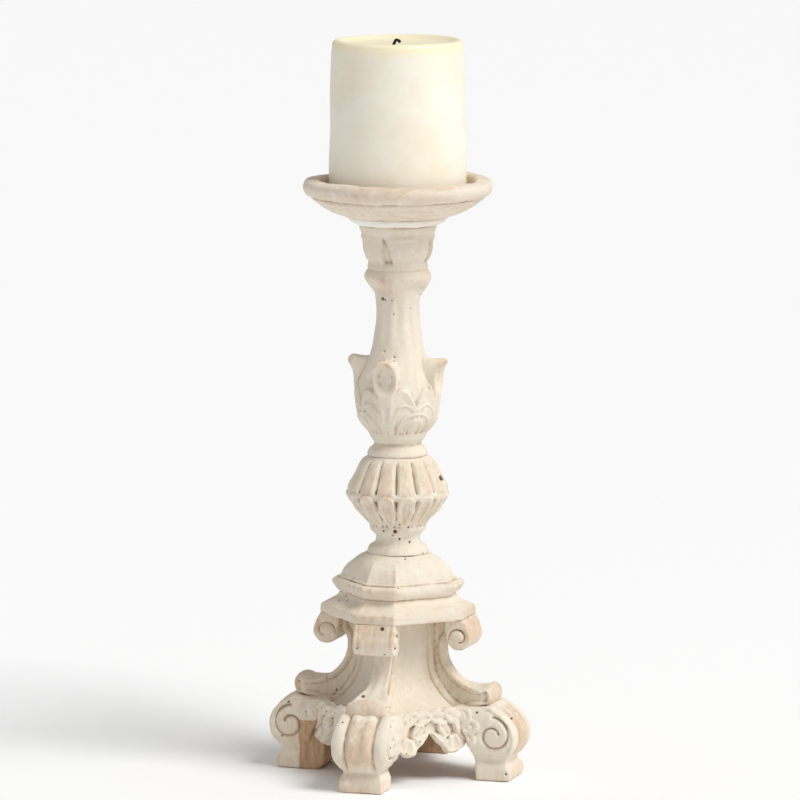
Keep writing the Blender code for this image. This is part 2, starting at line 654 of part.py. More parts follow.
def build_fixings():
    washer_low = CORE_BOTTOM + SCREW_HEAD_HEIGHT + GAP
    washer_top = washer_low + WASHER_THICKNESS
    bore = SCREW_RADIUS + HOLE_GAP
    profile = [(bore, washer_top), (WASHER_RADIUS, washer_top), (WASHER_RADIUS, washer_low), (bore, washer_low)]
    place("base_washer", turned(profile, closed=True), STEEL)

    head_top = washer_low - GAP
    screw_top = DOME_BOTTOM + SCREW_IN_DOWEL
    head = cylinder(SCREW_HEAD_RADIUS, head_top - SCREW_HEAD_HEIGHT, head_top, steps=6)
    shank = cylinder(SCREW_RADIUS, head_top - 1.0, screw_top)
    place("base_screw", smooth(combined(head, "UNION", shank)), STEEL)

    dowel_top = COLUMN_BOTTOM + DOWEL_IN_COLUMN
    dowel = cylinder(DOWEL_RADIUS, DOME_BOTTOM + GAP, dowel_top)
    dowel = bored(dowel, (SCREW_RADIUS + HOLE_GAP, DOME_BOTTOM - 5, screw_top + 1.0))
    place("stem_dowel", smooth(dowel), BARE_WOOD)


# ---- pricket and candle ---------------------------------------------------------------------------

def build_pricket():
    top = PAN_FLOOR
    under = top - PRICKET_FLANGE_THICKNESS
    profile = [
        (0, top + PRICKET_HEIGHT), (PRICKET_TIP_RADIUS, top + PRICKET_HEIGHT - 0.6), (PRICKET_BASE_RADIUS, top),
        (PRICKET_FLANGE_RADIUS, top), (PRICKET_FLANGE_RADIUS, under), (SHANK_RADIUS, under),
        (SHANK_RADIUS, under - SHANK_LENGTH + 3.0), (0, under - SHANK_LENGTH),
    ]
    place("pricket", turned(profile, steps=24), STEEL)


def build_candle():
    low, high, pool = CANDLE_BOTTOM, CANDLE_TOP, POOL_FLOOR
    edge_centre = (CANDLE_TOP_RADIUS - CANDLE_EDGE, high - CANDLE_EDGE)
    edge = reversed(arc(edge_centre, CANDLE_EDGE, 0, 90, 4))
    pool_radius = CANDLE_TOP_RADIUS - POOL_RIM_WIDTH
    wick_hole = WICK_RADIUS + HOLE_GAP
    hole_foot = PRICKET_BASE_RADIUS + HOLE_GAP
    hole_top = low + PRICKET_HEIGHT + 1.0
    profile = [
        (0, pool - WICK_IN_WAX - GAP), (wick_hole, pool - WICK_IN_WAX - GAP), (wick_hole, pool),
        (pool_radius - 4.0, pool), (pool_radius, pool + 1.6), *edge,
        (CANDLE_FOOT_RADIUS, low + 1.0), (CANDLE_FOOT_RADIUS - 1.0, low), (hole_foot, low),
        (PRICKET_TIP_RADIUS + HOLE_GAP, hole_top), (0, hole_top + 0.4),
    ]
    place("pillar_candle", turned(profile, steps=48), WAX)

    curve = bpy.data.curves.new("candle_wick", "CURVE")
    curve.dimensions = "3D"
    curve.bevel_depth = WICK_RADIUS * MM
    curve.bevel_resolution = 2
    curve.use_fill_caps = True
    bend = 2.4
    steps = 6
    route = [(0.0, pool - WICK_IN_WAX), (0.0, pool + WICK_ABOVE_POOL * 0.3)]
    route += bezier(route[-1], (0.0, pool + WICK_ABOVE_POOL * 0.7), (bend * 0.3, pool + WICK_ABOVE_POOL),
                    (bend, pool + WICK_ABOVE_POOL * 0.95), steps)
    spline = curve.splines.new("POLY")
    spline.points.add(len(route) - 1)
    for point, (x, z) in zip(spline.points, route):
        point.co = (x * MM, 0, z * MM, 1)
    wick = bpy.data.objects.new("candle_wick", curve)
    curve.materials.append(CHAR)
    PARTS.objects.link(wick)


clear_scene()
PARTS = new_collection("wooden_candlestick")
WORK = new_collection("shaping")
WHITEWASH = make_material("whitewashed_wood", (0.78, 0.70, 0.59), 0.75)
BARE_WOOD = make_material("bare_wood", (0.42, 0.27, 0.16), 0.7)
STEEL = make_material("dull_steel", (0.45, 0.44, 0.42), 0.4, 1.0)
WAX = make_material("ivory_wax", (0.90, 0.85, 0.72), 0.45)
CHAR = make_material("charred_cotton", (0.04, 0.03, 0.025), 0.9)

build_core()
build_brackets()
build_feet()
build_aprons()
build_cornice()
build_dome()
build_knop()
build_column()
build_collar()
build_pan()
build_fixings()
build_pricket()
build_candle()
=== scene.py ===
"""A carved and whitewashed wooden candlestick with a pillar candle in its pan.

The pieces are cut and finished in the order in which the stick is put together, from the floor up:
core, scroll brackets, feet, aprons, cornice, dome, knop, column, collar, pan, pricket and candle.
Shapes are worked out in millimetres and stored in metres.
"""

import math

import bpy
import numpy as np
from mathutils import Matrix


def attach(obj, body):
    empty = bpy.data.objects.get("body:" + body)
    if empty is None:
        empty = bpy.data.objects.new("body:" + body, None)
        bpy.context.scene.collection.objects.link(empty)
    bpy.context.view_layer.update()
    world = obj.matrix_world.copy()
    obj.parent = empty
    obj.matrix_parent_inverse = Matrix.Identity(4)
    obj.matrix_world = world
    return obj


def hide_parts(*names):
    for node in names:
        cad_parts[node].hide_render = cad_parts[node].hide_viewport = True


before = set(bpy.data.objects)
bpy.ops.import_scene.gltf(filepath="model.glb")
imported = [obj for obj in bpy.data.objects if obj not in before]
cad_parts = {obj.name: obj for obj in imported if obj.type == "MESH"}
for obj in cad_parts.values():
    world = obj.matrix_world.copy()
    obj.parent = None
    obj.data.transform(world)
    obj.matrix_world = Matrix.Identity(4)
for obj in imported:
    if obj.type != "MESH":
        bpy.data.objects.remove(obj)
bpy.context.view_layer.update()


# ---- Core -----------------------------------------------------------------------------------------
# A four-sided block of soft wood, upright at the waist and swept out to the feet below. Each face is
# a sunk panel inside a flat bead. A long screw runs up through it from the underside.

MM = 0.001
CELL = 0.5
SQRT2 = math.sqrt(2)
CORNERS = {"front_right": -45, "back_right": 45, "back_left": 135, "front_left": -135}
SIDES = {"front": -90, "right": 0, "back": 90, "left": 180}

CORE_TOP = 88.88
CORE_FOOT = 31.0
CORE_SWEEP = [
    (16.9, 92), (16.9, 72), (16.9, 66), (17.1, 61), (17.7, 57), (18.9, 53), (20.6, 49.3), (22.6, 46),
    (25.4, 42), (28.6, 38.9), (32, 36.9), (35.6, 35.5), (35.8, 34.4), (35.8, 27),
]
COUNTERBORE_RADIUS = 10.3
COUNTERBORE_TOP = 37.2
SCREW_BORE = 3.3
RIB_HALF_WIDTH = 5.5


def ease(x, low, high):
    """0 below low, 1 above high, and a smooth rise between them."""
    t = np.clip((x - low) / (high - low), 0, 1)
    return t * t * (3 - 2 * t)


def bump(x, centre, half_width):
    """A smooth hump, 1 at the centre and 0 from half_width away."""
    return ease(half_width - np.abs(x - centre), 0, half_width)


def joined(a, b, soft):
    """Two solids as one, with a fillet about soft wide where they meet."""
    h = np.clip(0.5 + 0.5 * (b - a) / soft, 0, 1)
    return b + (a - b) * h - soft * h * (1 - h)


def shared(a, b, soft):
    """What two solids share, with their common edge eased by about soft."""
    return -joined(-a, -b, soft)


def flowing(points, steps=6, closed=False):
    """A smooth line through the points, as an array of more of them."""
    p = np.array(points, float)
    if closed:
        p = np.vstack([p[-1:], p, p[:2]])
    else:
        p = np.vstack([2 * p[0] - p[1], p, 2 * p[-1] - p[-2]])
    t = np.linspace(0, 1, steps, endpoint=False)[:, None]
    spans = []
    for a, b, c, d in zip(p, p[1:], p[2:], p[3:]):
        spans.append(b + (c - a) * t / 2 + (2 * a - 5 * b + 4 * c - d) * t**2 / 2
                     + (3 * b - a - 3 * c + d) * t**3 / 2)
    if not closed:
        spans.append(p[-2:-1])
    return np.vstack(spans)


def gap_to(u, v, start, end):
    """Squared distance from points to the straight stretch between start and end."""
    (ax, ay), (bx, by) = start, end
    dx, dy = bx - ax, by - ay
    t = np.clip(((u - ax) * dx + (v - ay) * dy) / max(dx * dx + dy * dy, 1e-9), 0, 1)
    return (u - ax - t * dx) ** 2 + (v - ay - t * dy) ** 2


def read_off(table, low, step):
    """A gridded sheet of values as a function of two coordinates, smooth between its points."""

    def read(a, b):
        i = np.clip((a - low[0]) / step, 0, table.shape[0] - 1.001)
        j = np.clip((b - low[1]) / step, 0, table.shape[1] - 1.001)
        i0, j0 = i.astype(int), j.astype(int)
        s, t = i - i0, j - j0
        near = table[i0, j0] * (1 - t) + table[i0, j0 + 1] * t
        far = table[i0 + 1, j0] * (1 - t) + table[i0 + 1, j0 + 1] * t
        return near * (1 - s) + far * s

    return read


def drawn(outline, step=0.25, margin=6.0):
    """Signed distance to a closed flat outline, negative inside, as a function of two coordinates."""
    line = np.asarray(outline, float)
    low, high = line.min(0) - margin, line.max(0) + margin
    us = np.arange(low[0], high[0] + step, step)
    vs = np.arange(low[1], high[1] + step, step)
    u, v = np.meshgrid(us, vs, indexing="ij")
    near = np.full(u.shape, 1e9)
    inside = np.zeros(u.shape, bool)
    for start, end in zip(line, np.roll(line, -1, 0)):
        near = np.minimum(near, gap_to(u, v, start, end))
        (ax, ay), (bx, by) = start, end
        if ay != by:
            inside ^= ((ay > v) != (by > v)) & (u < (bx - ax) * (v - ay) / (by - ay) + ax)
    return read_off(np.where(inside, -1, 1) * np.sqrt(near), low, step)


def relax(points, edges, rounds, share=0.5):
    """Move each point towards the middle of its neighbours, a number of times."""
    count = len(points)
    a, b = edges[:, 0], edges[:, 1]
    around = np.maximum(np.bincount(a, minlength=count) + np.bincount(b, minlength=count), 1)
    for _ in range(rounds):
        middle = np.empty_like(points)
        for k in range(3):
            total = np.bincount(a, points[b, k], count) + np.bincount(b, points[a, k], count)
            middle[:, k] = total / around
        points = points + (middle - points) * share
    return points


def skin(f, low, cell):
    """Points and four-sided faces of the surface where the gridded values of f change sign."""
    inside = f < 0
    block = inside[:-1, :-1, :-1]
    every, some = block.copy(), block.copy()
    corners = [(i, j, k) for i in (0, 1) for j in (0, 1) for k in (0, 1)]
    n0, n1, n2 = (n - 1 for n in f.shape)
    for i, j, k in corners[1:]:
        part = inside[i:i + n0, j:j + n1, k:k + n2]
        every &= part
        some |= part
    cells = np.argwhere(some & ~every)
    values = np.stack([f[cells[:, 0] + i, cells[:, 1] + j, cells[:, 2] + k] for i, j, k in corners], 1)
    total = np.zeros((len(cells), 3))
    hits = np.zeros(len(cells))
    for a, ca in enumerate(corners):
        for b, cb in enumerate(corners):
            step = np.subtract(cb, ca)
            if a < b and np.abs(step).sum() == 1:
                crossed = (values[:, a] < 0) != (values[:, b] < 0)
                va, vb = values[crossed, a], values[crossed, b]
                total[crossed] += np.array(ca) + (va / (va - vb))[:, None] * step
                hits[crossed] += 1
    points = np.array(low) + (cells + total / hits[:, None]) * cell
    number = np.full((n0, n1, n2), -1, np.int64)
    number[tuple(cells.T)] = np.arange(len(cells))
    faces = []
    for axis in range(3):
        side = np.moveaxis(inside, axis, 0)
        near = np.moveaxis(number, axis, 0)
        i, j, k = np.nonzero(side[:-1, 1:-1, 1:-1] != side[1:, 1:-1, 1:-1])
        j, k = j + 1, k + 1
        quad = np.stack([near[i, j - 1, k - 1], near[i, j, k - 1], near[i, j, k], near[i, j - 1, k]], 1)
        backward = side[i, j, k] == (axis == 1)
        quad[backward] = quad[backward][:, ::-1]
        faces.append(quad)
    return points, np.vstack(faces)


def wander(p, size, seed, waves=7):
    """Smooth unevenness from about -1 to 1, with swells about size long."""
    draw = np.random.default_rng(seed)
    total = np.zeros(len(p))
    for _ in range(waves):
        way = draw.normal(size=3)
        way *= 2 * math.pi / (size * draw.uniform(0.75, 1.5) * np.linalg.norm(way))
        total += np.sin(p @ way + draw.uniform(0, 2 * math.pi))
    return total / math.sqrt(waves)


def bored(f, low, cell, holes):
    """Cut worm holes into gridded values: each (x, y, z, radius, depth) follows the wood's inward normal."""
    for x, y, z, radius, depth in holes:
        at = ((np.array([x, y, z]) - low) / cell).round().astype(int)
        if (at < 3).any() or (at > np.array(f.shape) - 4).any():
            continue
        out = np.array([f[tuple(at + d)] - f[tuple(at - d)] for d in np.eye(3, dtype=int) * 2])
        out /= max(np.linalg.norm(out), 1e-6)
        reach = int((depth + radius + 2) / cell) + 2
        lows = np.maximum(at - reach, 0)
        highs = np.minimum(at + reach, f.shape)
        box = tuple(slice(a, b) for a, b in zip(lows, highs))
        grid = np.meshgrid(*[low[k] + np.arange(lows[k], highs[k]) * cell for k in range(3)], indexing="ij")
        rel = [g - c for g, c in zip(grid, (x, y, z))]
        along = sum(r * o for r, o in zip(rel, out))
        aside = np.sqrt(np.maximum(sum(r * r for r in rel) - along**2, 0))
        hole = np.maximum(aside - radius, np.maximum(along - 1.5, -along - depth))
        f[box] = np.maximum(f[box], -hole)
    return f


def mesh_of(name, points, faces):
    """A smooth-shaded mesh, in metres, from points in millimetres."""
    mesh = bpy.data.meshes.new(name)
    mesh.vertices.add(len(points))
    mesh.vertices.foreach_set("co", (points * MM).astype(np.float32).ravel())
    mesh.loops.add(faces.size)
    mesh.loops.foreach_set("vertex_index", faces.astype(np.int32).ravel())
    mesh.polygons.add(len(faces))
    mesh.polygons.foreach_set("loop_start", np.arange(0, faces.size, faces.shape[1], dtype=np.int32))
    mesh.polygons.foreach_set("loop_total", np.full(len(faces), faces.shape[1], np.int32))
    mesh.update(calc_edges=True)
    mesh.validate()
    mesh.shade_smooth()
    return mesh


def move_to(mesh, points):
    mesh.vertices.foreach_set("co", (points * MM).astype(np.float32).ravel())
    mesh.update()


def edges_of(mesh):
    edges = np.empty(len(mesh.edges) * 2, np.int32)
    mesh.edges.foreach_get("vertices", edges)
    return edges.reshape(-1, 2)


def normals_of(mesh):
    normals = np.empty(len(mesh.vertices) * 3, np.float32)
    mesh.vertices.foreach_get("normal", normals)
    return normals.reshape(-1, 3).astype(float)


def note(mesh, name, values):
    mesh.attributes.new(name, "FLOAT", "POINT").data.foreach_set("value", values.astype(np.float32))


def finish_wood(mesh, points, seed, holes=(), uneven=0.16, settle=2, worn=None, bare=None):
    """Soften the tool marks, add hand unevenness, and note where paint is worn, where hollows and creases
    take painted shade, where it is pitted and where it is absent.
    """
    edges = edges_of(mesh)
    points = relax(points, edges, settle)
    move_to(mesh, points)
    normals = normals_of(mesh)
    lift = uneven * wander(points, 15, seed) + uneven * 0.35 * wander(points, 4.5, seed + 1)
    points = points + normals * lift[:, None]
    move_to(mesh, points)
    # The hollow and ridge measures set the painted shade in hollows and creases, and the wear on ridges.
    near = ((points - relax(points, edges, 8)) * normals).sum(1)
    wide = ((points - relax(points, edges, 60)) * normals).sum(1)
    note(mesh, "ridge", relax(np.stack([near] * 3, 1), edges, 2)[:, 0])
    note(mesh, "hollow", -wide)
    # Where the worm holes are, which the finish colours near black as painted shade.
    pit = np.zeros(len(points))
    for x, y, z, radius, _depth in holes:
        away = np.sqrt(((points - (x, y, z)) ** 2).sum(1))
        pit = np.maximum(pit, ease(-away, -radius * 1.45, -radius * 0.85))
    note(mesh, "pit", pit)
    x, y, z = points.T
    note(mesh, "worn", worn(x, y, z) if worn else pit * 0)
    note(mesh, "bare", bare(x, y, z) if bare else pit * 0)
    return mesh


def carved(name, low, high, wood, seed=0, holes=(), cell=CELL, **finish):
    """Carve a closed mesh: wood(x, y, z) is the distance to the surface in mm, negative inside."""
    low = np.array(low, float) - 2 * cell
    axes = [np.arange(a, b + 2 * cell, cell) for a, b in zip(low, high)]
    f = wood(*np.meshgrid(*axes, indexing="ij"))
    f = bored(f, low, cell, holes)
    points, faces = skin(f, low, cell)
    mesh = mesh_of(name, points, faces)
    return finish_wood(mesh, points, seed, holes, **finish)


def linear(*rgb):
    """A screen colour from 0 to 255 as linear values."""
    return tuple((c / 255 / 12.92) if c <= 10 else ((c / 255 + 0.055) / 1.055) ** 2.4 for c in rgb) + (1.0,)


def node(tree, kind, at, links=(), **settings):
    """Add a shader node, set its values by socket name or number, and link its inputs."""
    new = tree.nodes.new(kind)
    new.location = (at[0] * 190, -at[1] * 170)
    inputs = settings.pop("inputs", {})
    for key, value in settings.items():
        setattr(new, key, value)
    for key, value in inputs.items():
        new.inputs[key].default_value = value
    for key, source in dict(links).items():
        tree.links.new(source, new.inputs[key])
    return new


def mixed(tree, at, factor, a, b, blend="MIX"):
    """A colour mix; a, b and the factor are each a socket or a plain value."""
    new = tree.nodes.new("ShaderNodeMix")
    new.data_type, new.blend_type, new.location = "RGBA", blend, (at[0] * 190, -at[1] * 170)
    for index, value in ((0, factor), (6, a), (7, b)):
        if isinstance(value, bpy.types.NodeSocket):
            tree.links.new(value, new.inputs[index])
        else:
            new.inputs[index].default_value = value
    return new.outputs[2]


def sums(tree, at, operation, *terms):
    """A Math node over sockets or plain numbers."""
    new = tree.nodes.new("ShaderNodeMath")
    new.operation, new.location = operation, (at[0] * 190, -at[1] * 170)
    for index, value in enumerate(terms):
        if isinstance(value, bpy.types.NodeSocket):
            tree.links.new(value, new.inputs[index])
        else:
            new.inputs[index].default_value = value
    return new.outputs[0]


def ramped(tree, at, value, low, high, to_low=0.0, to_high=1.0):
    """A value carried smoothly from one range to another."""
    new = tree.nodes.new("ShaderNodeMapRange")
    new.interpolation_type, new.location = "SMOOTHSTEP", (at[0] * 190, -at[1] * 170)
    tree.links.new(value, new.inputs[0])
    for index, number in enumerate((low, high, to_low, to_high), 1):
        new.inputs[index].default_value = number
    return new.outputs[0]


def noise(tree, at, place, scale, detail=4.0, roughness=0.55, stretch=(1, 1, 1), offset=0.0):
    """Noise over the piece; stretch draws it out along an axis, scale is in waves per metre."""
    moved = node(tree, "ShaderNodeMapping", at, {0: place},
                 inputs={1: (offset, offset * 0.7, offset * 1.3), 3: stretch})
    new = node(tree, "ShaderNodeTexNoise", (at[0] + 1, at[1]), {0: moved.outputs[0]},
               inputs={"Scale": scale, "Detail": detail, "Roughness": roughness})
    return new.outputs[0]


def build_whitewash():
    """Chalky paint brushed over bare wood: rubbed off ridges, thick in shallow cuts, with painted shade in
    its hollows, creases and worm holes.
    """
    group = bpy.data.node_groups.new("whitewash", "ShaderNodeTree")
    face = group.interface
    for label, kind, start in (
        ("Paint", "NodeSocketColor", linear(230, 221, 204)),
        ("Wood", "NodeSocketColor", linear(216, 186, 157)),
        ("Wear", "NodeSocketFloat", 0.5), ("Shade_in_hollows", "NodeSocketFloat", 0.5),
        ("Grain", "NodeSocketVector", (1, 1, 0.12)),
    ):
        face.new_socket(label, in_out="INPUT", socket_type=kind).default_value = start
    for label, kind in (("Colour", "NodeSocketColor"), ("Roughness", "NodeSocketFloat"),
                        ("Height", "NodeSocketFloat")):
        face.new_socket(label, in_out="OUTPUT", socket_type=kind)
    start = node(group, "NodeGroupInput", (-8, 0)).outputs
    place = node(group, "ShaderNodeTexCoord", (-8, 2)).outputs["Object"]
    ridge, hollow, pit, worn, bare = (
        node(group, "ShaderNodeAttribute", (-8, 4 + i), attribute_name=label).outputs["Fac"]
        for i, label in enumerate(("ridge", "hollow", "pit", "worn", "bare")))

    along = node(group, "ShaderNodeVectorMath", (-7, 2), {0: place, 1: start["Grain"]},
                 operation="MULTIPLY").outputs[0]
    fine = noise(group, (-6, 1), along, 1500, 3)
    streak = noise(group, (-6, 2), along, 420, 4, 0.6)
    patch = noise(group, (-6, 3), place, 55, 3, 0.6, offset=3.1)
    cloud = noise(group, (-6, 4), place, 16, 2, 0.5, offset=7.7)
    dab = noise(group, (-6, 5), place, 170, 3, 0.6, offset=1.7)

    # Rubbed: where hands reach, on ridges, and wherever patches of noise are thin.
    thin = sums(group, (-3, 3), "ADD", sums(group, (-4, 3), "MULTIPLY", patch, 0.55),
                sums(group, (-4, 4), "MULTIPLY", streak, 0.45))
    thin = sums(group, (-3, 4), "ADD", thin, sums(group, (-4, 5), "MULTIPLY", cloud, 0.35))
    edge = ramped(group, (-4, 7), ridge, 0.02, 0.22, 0.0, 0.13)
    raised = sums(group, (-3, 5), "MULTIPLY_ADD", worn, 0.42, edge)
    rub = sums(group, (-2, 3), "ADD", thin, raised)
    rub = sums(group, (-1, 3), "ADD", rub, sums(group, (-2, 4), "MULTIPLY_ADD", start["Wear"], 0.6, -0.3))
    rub = ramped(group, (0, 3), rub, 0.55, 1.1)

    wood = mixed(group, (-1, 1), ramped(group, (-2, 1), streak, 0.35, 0.7), start["Wood"],
                 linear(202, 168, 136))
    paint = mixed(group, (-1, 0), ramped(group, (-2, 0), cloud, 0.35, 0.7, 0.0, 0.5), start["Paint"],
                  linear(226, 211, 190))
    paint = mixed(group, (0, 0), ramped(group, (-1, 2), streak, 0.5, 0.75, 0.0, 0.35), paint,
                  linear(214, 197, 172))
    colour = mixed(group, (1, 0), sums(group, (0.5, 2), "MULTIPLY", rub, 0.7), paint, wood)
    white = ramped(group, (0, 5), dab, 0.56, 0.72, 0.0, 0.5)
    colour = mixed(group, (2, 0), white, colour, linear(243, 238, 227))
    # Painted shade: the larger hollows of the shape are darkened to brown, where shade falls in them.
    recess_shade = ramped(group, (0, 6), hollow, 0.25, 1.3)
    recess_shade = sums(group, (1, 6), "MULTIPLY", recess_shade, start["Shade_in_hollows"])
    colour = mixed(group, (3, 0), recess_shade, colour, linear(170, 138, 102))
    # Painted shade in small creases, a darker brown still.
    crease_shade = ramped(group, (1, 5), ridge, -0.035, -0.17)
    crease_shade = sums(group, (2, 5), "MULTIPLY", crease_shade, start["Shade_in_hollows"])
    colour = mixed(group, (4, 0), crease_shade, colour, linear(150, 122, 92))
    timber = mixed(group, (3, 7), ramped(group, (2, 7), streak, 0.3, 0.7), linear(206, 172, 140),
                   linear(180, 144, 110))
    unpainted = ramped(group, (3, 8), sums(group, (2, 8), "MULTIPLY_ADD", patch, 0.5, bare), 0.45, 0.95)
    colour = mixed(group, (5, 0), unpainted, colour, timber)
    # Painted shade: worm holes are coloured near black for the shade inside them.
    colour = mixed(group, (6, 0), pit, colour, linear(40, 27, 18))

    rough = sums(group, (3, 3), "MULTIPLY_ADD", rub, -0.14, 0.78)
    height = sums(group, (2, 3), "MULTIPLY_ADD", fine, 0.25, sums(group, (1, 3), "MULTIPLY", streak, 0.55))
    height = sums(group, (3, 4), "MULTIPLY_ADD", rub, -0.35, height)
    height = sums(group, (4, 4), "MULTIPLY_ADD", dab, 0.3, height)
    end = node(group, "NodeGroupOutput", (8, 0))
    for label, value in (("Colour", colour), ("Roughness", rough), ("Height", height)):
        group.links.new(value, end.inputs[label])
    return group


WHITEWASH = build_whitewash()


def new_material(name):
    """A material with its node tree and its Principled shader."""
    material = bpy.data.materials.new(name)
    material.use_nodes = True
    return material, material.node_tree, material.node_tree.nodes["Principled BSDF"]


def painted_wood(name, grain=(1, 1, 0.12), wear=0.5, hollow_shade=0.5, paint=(230, 221, 204), wood=(216, 186, 157)):
    """A whitewashed finish with its own grain direction, amount of wear and strength of painted shade in
    hollows and creases.
    """
    material, tree, shader = new_material(name)
    wash = node(tree, "ShaderNodeGroup", (-3, 0), node_tree=WHITEWASH)
    for label, value in (("Grain", grain), ("Wear", wear), ("Shade_in_hollows", hollow_shade), ("Paint", linear(*paint)),
                         ("Wood", linear(*wood))):
        wash.inputs[label].default_value = value
    relief = node(tree, "ShaderNodeBump", (-1.5, 2), {"Height": wash.outputs["Height"]},
                  inputs={"Strength": 0.35, "Distance": 0.0005})
    tree.links.new(wash.outputs["Colour"], shader.inputs["Base Color"])
    tree.links.new(wash.outputs["Roughness"], shader.inputs["Roughness"])
    tree.links.new(relief.outputs[0], shader.inputs["Normal"])
    shader.inputs["Specular IOR Level"].default_value = 0.3
    return material


def fit(name, mesh, material, body, slot, *nodes):
    """Put a finished piece on the stick in place of its plain solids."""
    piece = bpy.data.objects.new(name, mesh)
    bpy.context.scene.collection.objects.link(piece)
    mesh.materials.append(material)
    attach(piece, body)
    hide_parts(*nodes)
    return piece


core_side = drawn([(-60, CORE_FOOT), (36.0, CORE_FOOT), *flowing(CORE_SWEEP[::-1][1:]), (-60, 92)])


def core_wood(x, y, z):
    ax, ay = np.abs(x), np.abs(y)
    block = core_side(np.maximum(ax, ay), z)
    corner = (ax + ay) / SQRT2 - (np.interp(z, [35.5, 41, 47, 52, 64], [41, 31, 25.5, 21.8, 19.0]) + 1.0)
    bore = np.hypot(x, y) - np.where(z < COUNTERBORE_TOP, COUNTERBORE_RADIUS, SCREW_BORE)
    return np.maximum(np.maximum(np.maximum(block, corner), -bore), np.maximum(z - CORE_TOP, CORE_FOOT - z))


core_mesh = carved("carved_core", (-37, -37, 30), (37, 37, 89.5), core_wood, seed=11, uneven=0.14,
                   bare=lambda x, y, z: ease(-z, -32.5, -31.5))
upright_wood = painted_wood("whitewashed_upright_wood", wear=0.28, hollow_shade=0.45)
fit("carved_core", core_mesh, upright_wood, "candlestick", "whitewashed_wood", "base_core")


# ---- Scroll brackets ------------------------------------------------------------------------------
# A bracket is carved from one block for each corner and glued on: a rolled volute under the cornice,
# a narrow concave rib with a hollow down each side, and a wide curl turned up on top of the foot.

BRACKET_HALF_WIDTH = 11.8
VOLUTE_CENTRE = (38.5, 78.5)
VOLUTE_RADIUS = 7.0
CURL_DROOP = {"front_right": 0.4, "back_right": -0.3, "back_left": 0.0, "front_left": 3.2}
RIB_OUTLINE = [
    (31.4, 92), (31.2, 80), (28.6, 76), (27.7, 72.5), (27.8, 69.5), (28.4, 66), (29.8, 62.5), (32.5, 58.4),
    (35.8, 55), (39.5, 52.5), (43.5, 51.1), (47.5, 50.8), (50.4, 51.4), (53, 52.6), (55.3, 52.8),
    (57.2, 51.5), (58.4, 49.2), (58.6, 46.4), (57.8, 43.6), (55.6, 41.5), (52, 40.8), (47, 40.5),
    (43.5, 38.6), (41.5, 36.6), (38.5, 36.4),
]
rib_side = drawn([(10, 92), *flowing(RIB_OUTLINE, 4), (10, 36.4)])
panel_line = drawn([
    (80, 30), (41, 35.2), (36.4, 36.9), (32.4, 38.9), (29, 42), (25.2, 46.8), (21.3, 53), (19.2, 58),
    (18.4, 66), (18.3, 95), (80, 95),
])
volute_block = drawn([(30.6, 92), (41.5, 92), (41.6, 88.2), (43.8, 84.4), (43.2, 78), (34, 78), (30.8, 82)])


def spiral_cut(r, z, centre, start, turn, outer, inner, width, pull=1.0):
    """How deep inside a spiral groove a point is, 1 at its middle; angles in degrees, turning clockwise."""
    away = np.hypot(r - centre[0], z - centre[1])
    angle = np.degrees(np.arctan2(z - centre[1], r - centre[0]))
    turned = (start - angle) % 360
    cut = np.zeros_like(away)
    for lap in range(int(turn // 360) + 1):
        gone = turned + 360 * lap
        radius = outer + (inner - outer) * np.clip(gone / turn, 0, 1) ** pull
        fade = ease(turn - gone, 0, 25) * ease(gone, -1, 12)
        cut = np.maximum(cut, bump(away, radius, width) * fade * (gone <= turn))
    return cut


def bracket_wood(r, y, z, droop):
    ay = np.abs(y)
    low = z + droop * ease(r, 42, 53) * ease(-z, -60, -54)
    width = np.interp(r, [36, 40, 46, 51.5], [RIB_HALF_WIDTH, 6.7, 9.3, BRACKET_HALF_WIDTH + 0.2])
    side = rib_side(r, low)
    crown = (2.8 * (ay / 12) ** 3 * ease(r, 46, 54)
             + 0.4 * bump(ay, width * 0.5, width * 0.42) * ease(-r, -50, -46))
    inner = -panel_line(r, z)
    cove = ease(-side, 1.8, 3.4) * ease(inner, 2.5, 4.2) * ease(-r, -57, -54)
    bead = 0.55 * bump(inner, 1.3, 1.3) * ease(-r, -44, -40)
    rib = shared(side + crown, ay - width + 1.9 * cove - bead, 0.8)
    roll = np.hypot(r - VOLUTE_CENTRE[0], z - VOLUTE_CENTRE[1]) - VOLUTE_RADIUS
    volute = joined(roll, volute_block(r, z), 1.2)
    spiral = 1.3 * spiral_cut(r, z, VOLUTE_CENTRE, 200, 300, 6.0, 2.2, 1.0)
    boss = 0.7 * ease(-np.hypot(r - VOLUTE_CENTRE[0], z - VOLUTE_CENTRE[1]), -4.4, -1.6)
    rim = 0.5 * bump(ay, BRACKET_HALF_WIDTH - 2.6, 0.9) * ease(r, 36, 40)
    head = shared(volute + rim, ay - BRACKET_HALF_WIDTH + 1.2 * spiral - boss, 1.1)
    return np.maximum(joined(rib, head, 1.0), z - CORE_TOP)


def bracket_worn(r, y, z):
    return 0.75 * ease(r, 40.8, 42) * ease(z, 74, 80) + 0.75 * ease(r, 51, 57.5) * ease(-z, -60, -54)


# Radius and depth of the worm holes, which are listed for each piece as x, y, z and a size.
PINHOLE = (0.55, 2.5)
WIDE_HOLE = (0.95, 4.0)

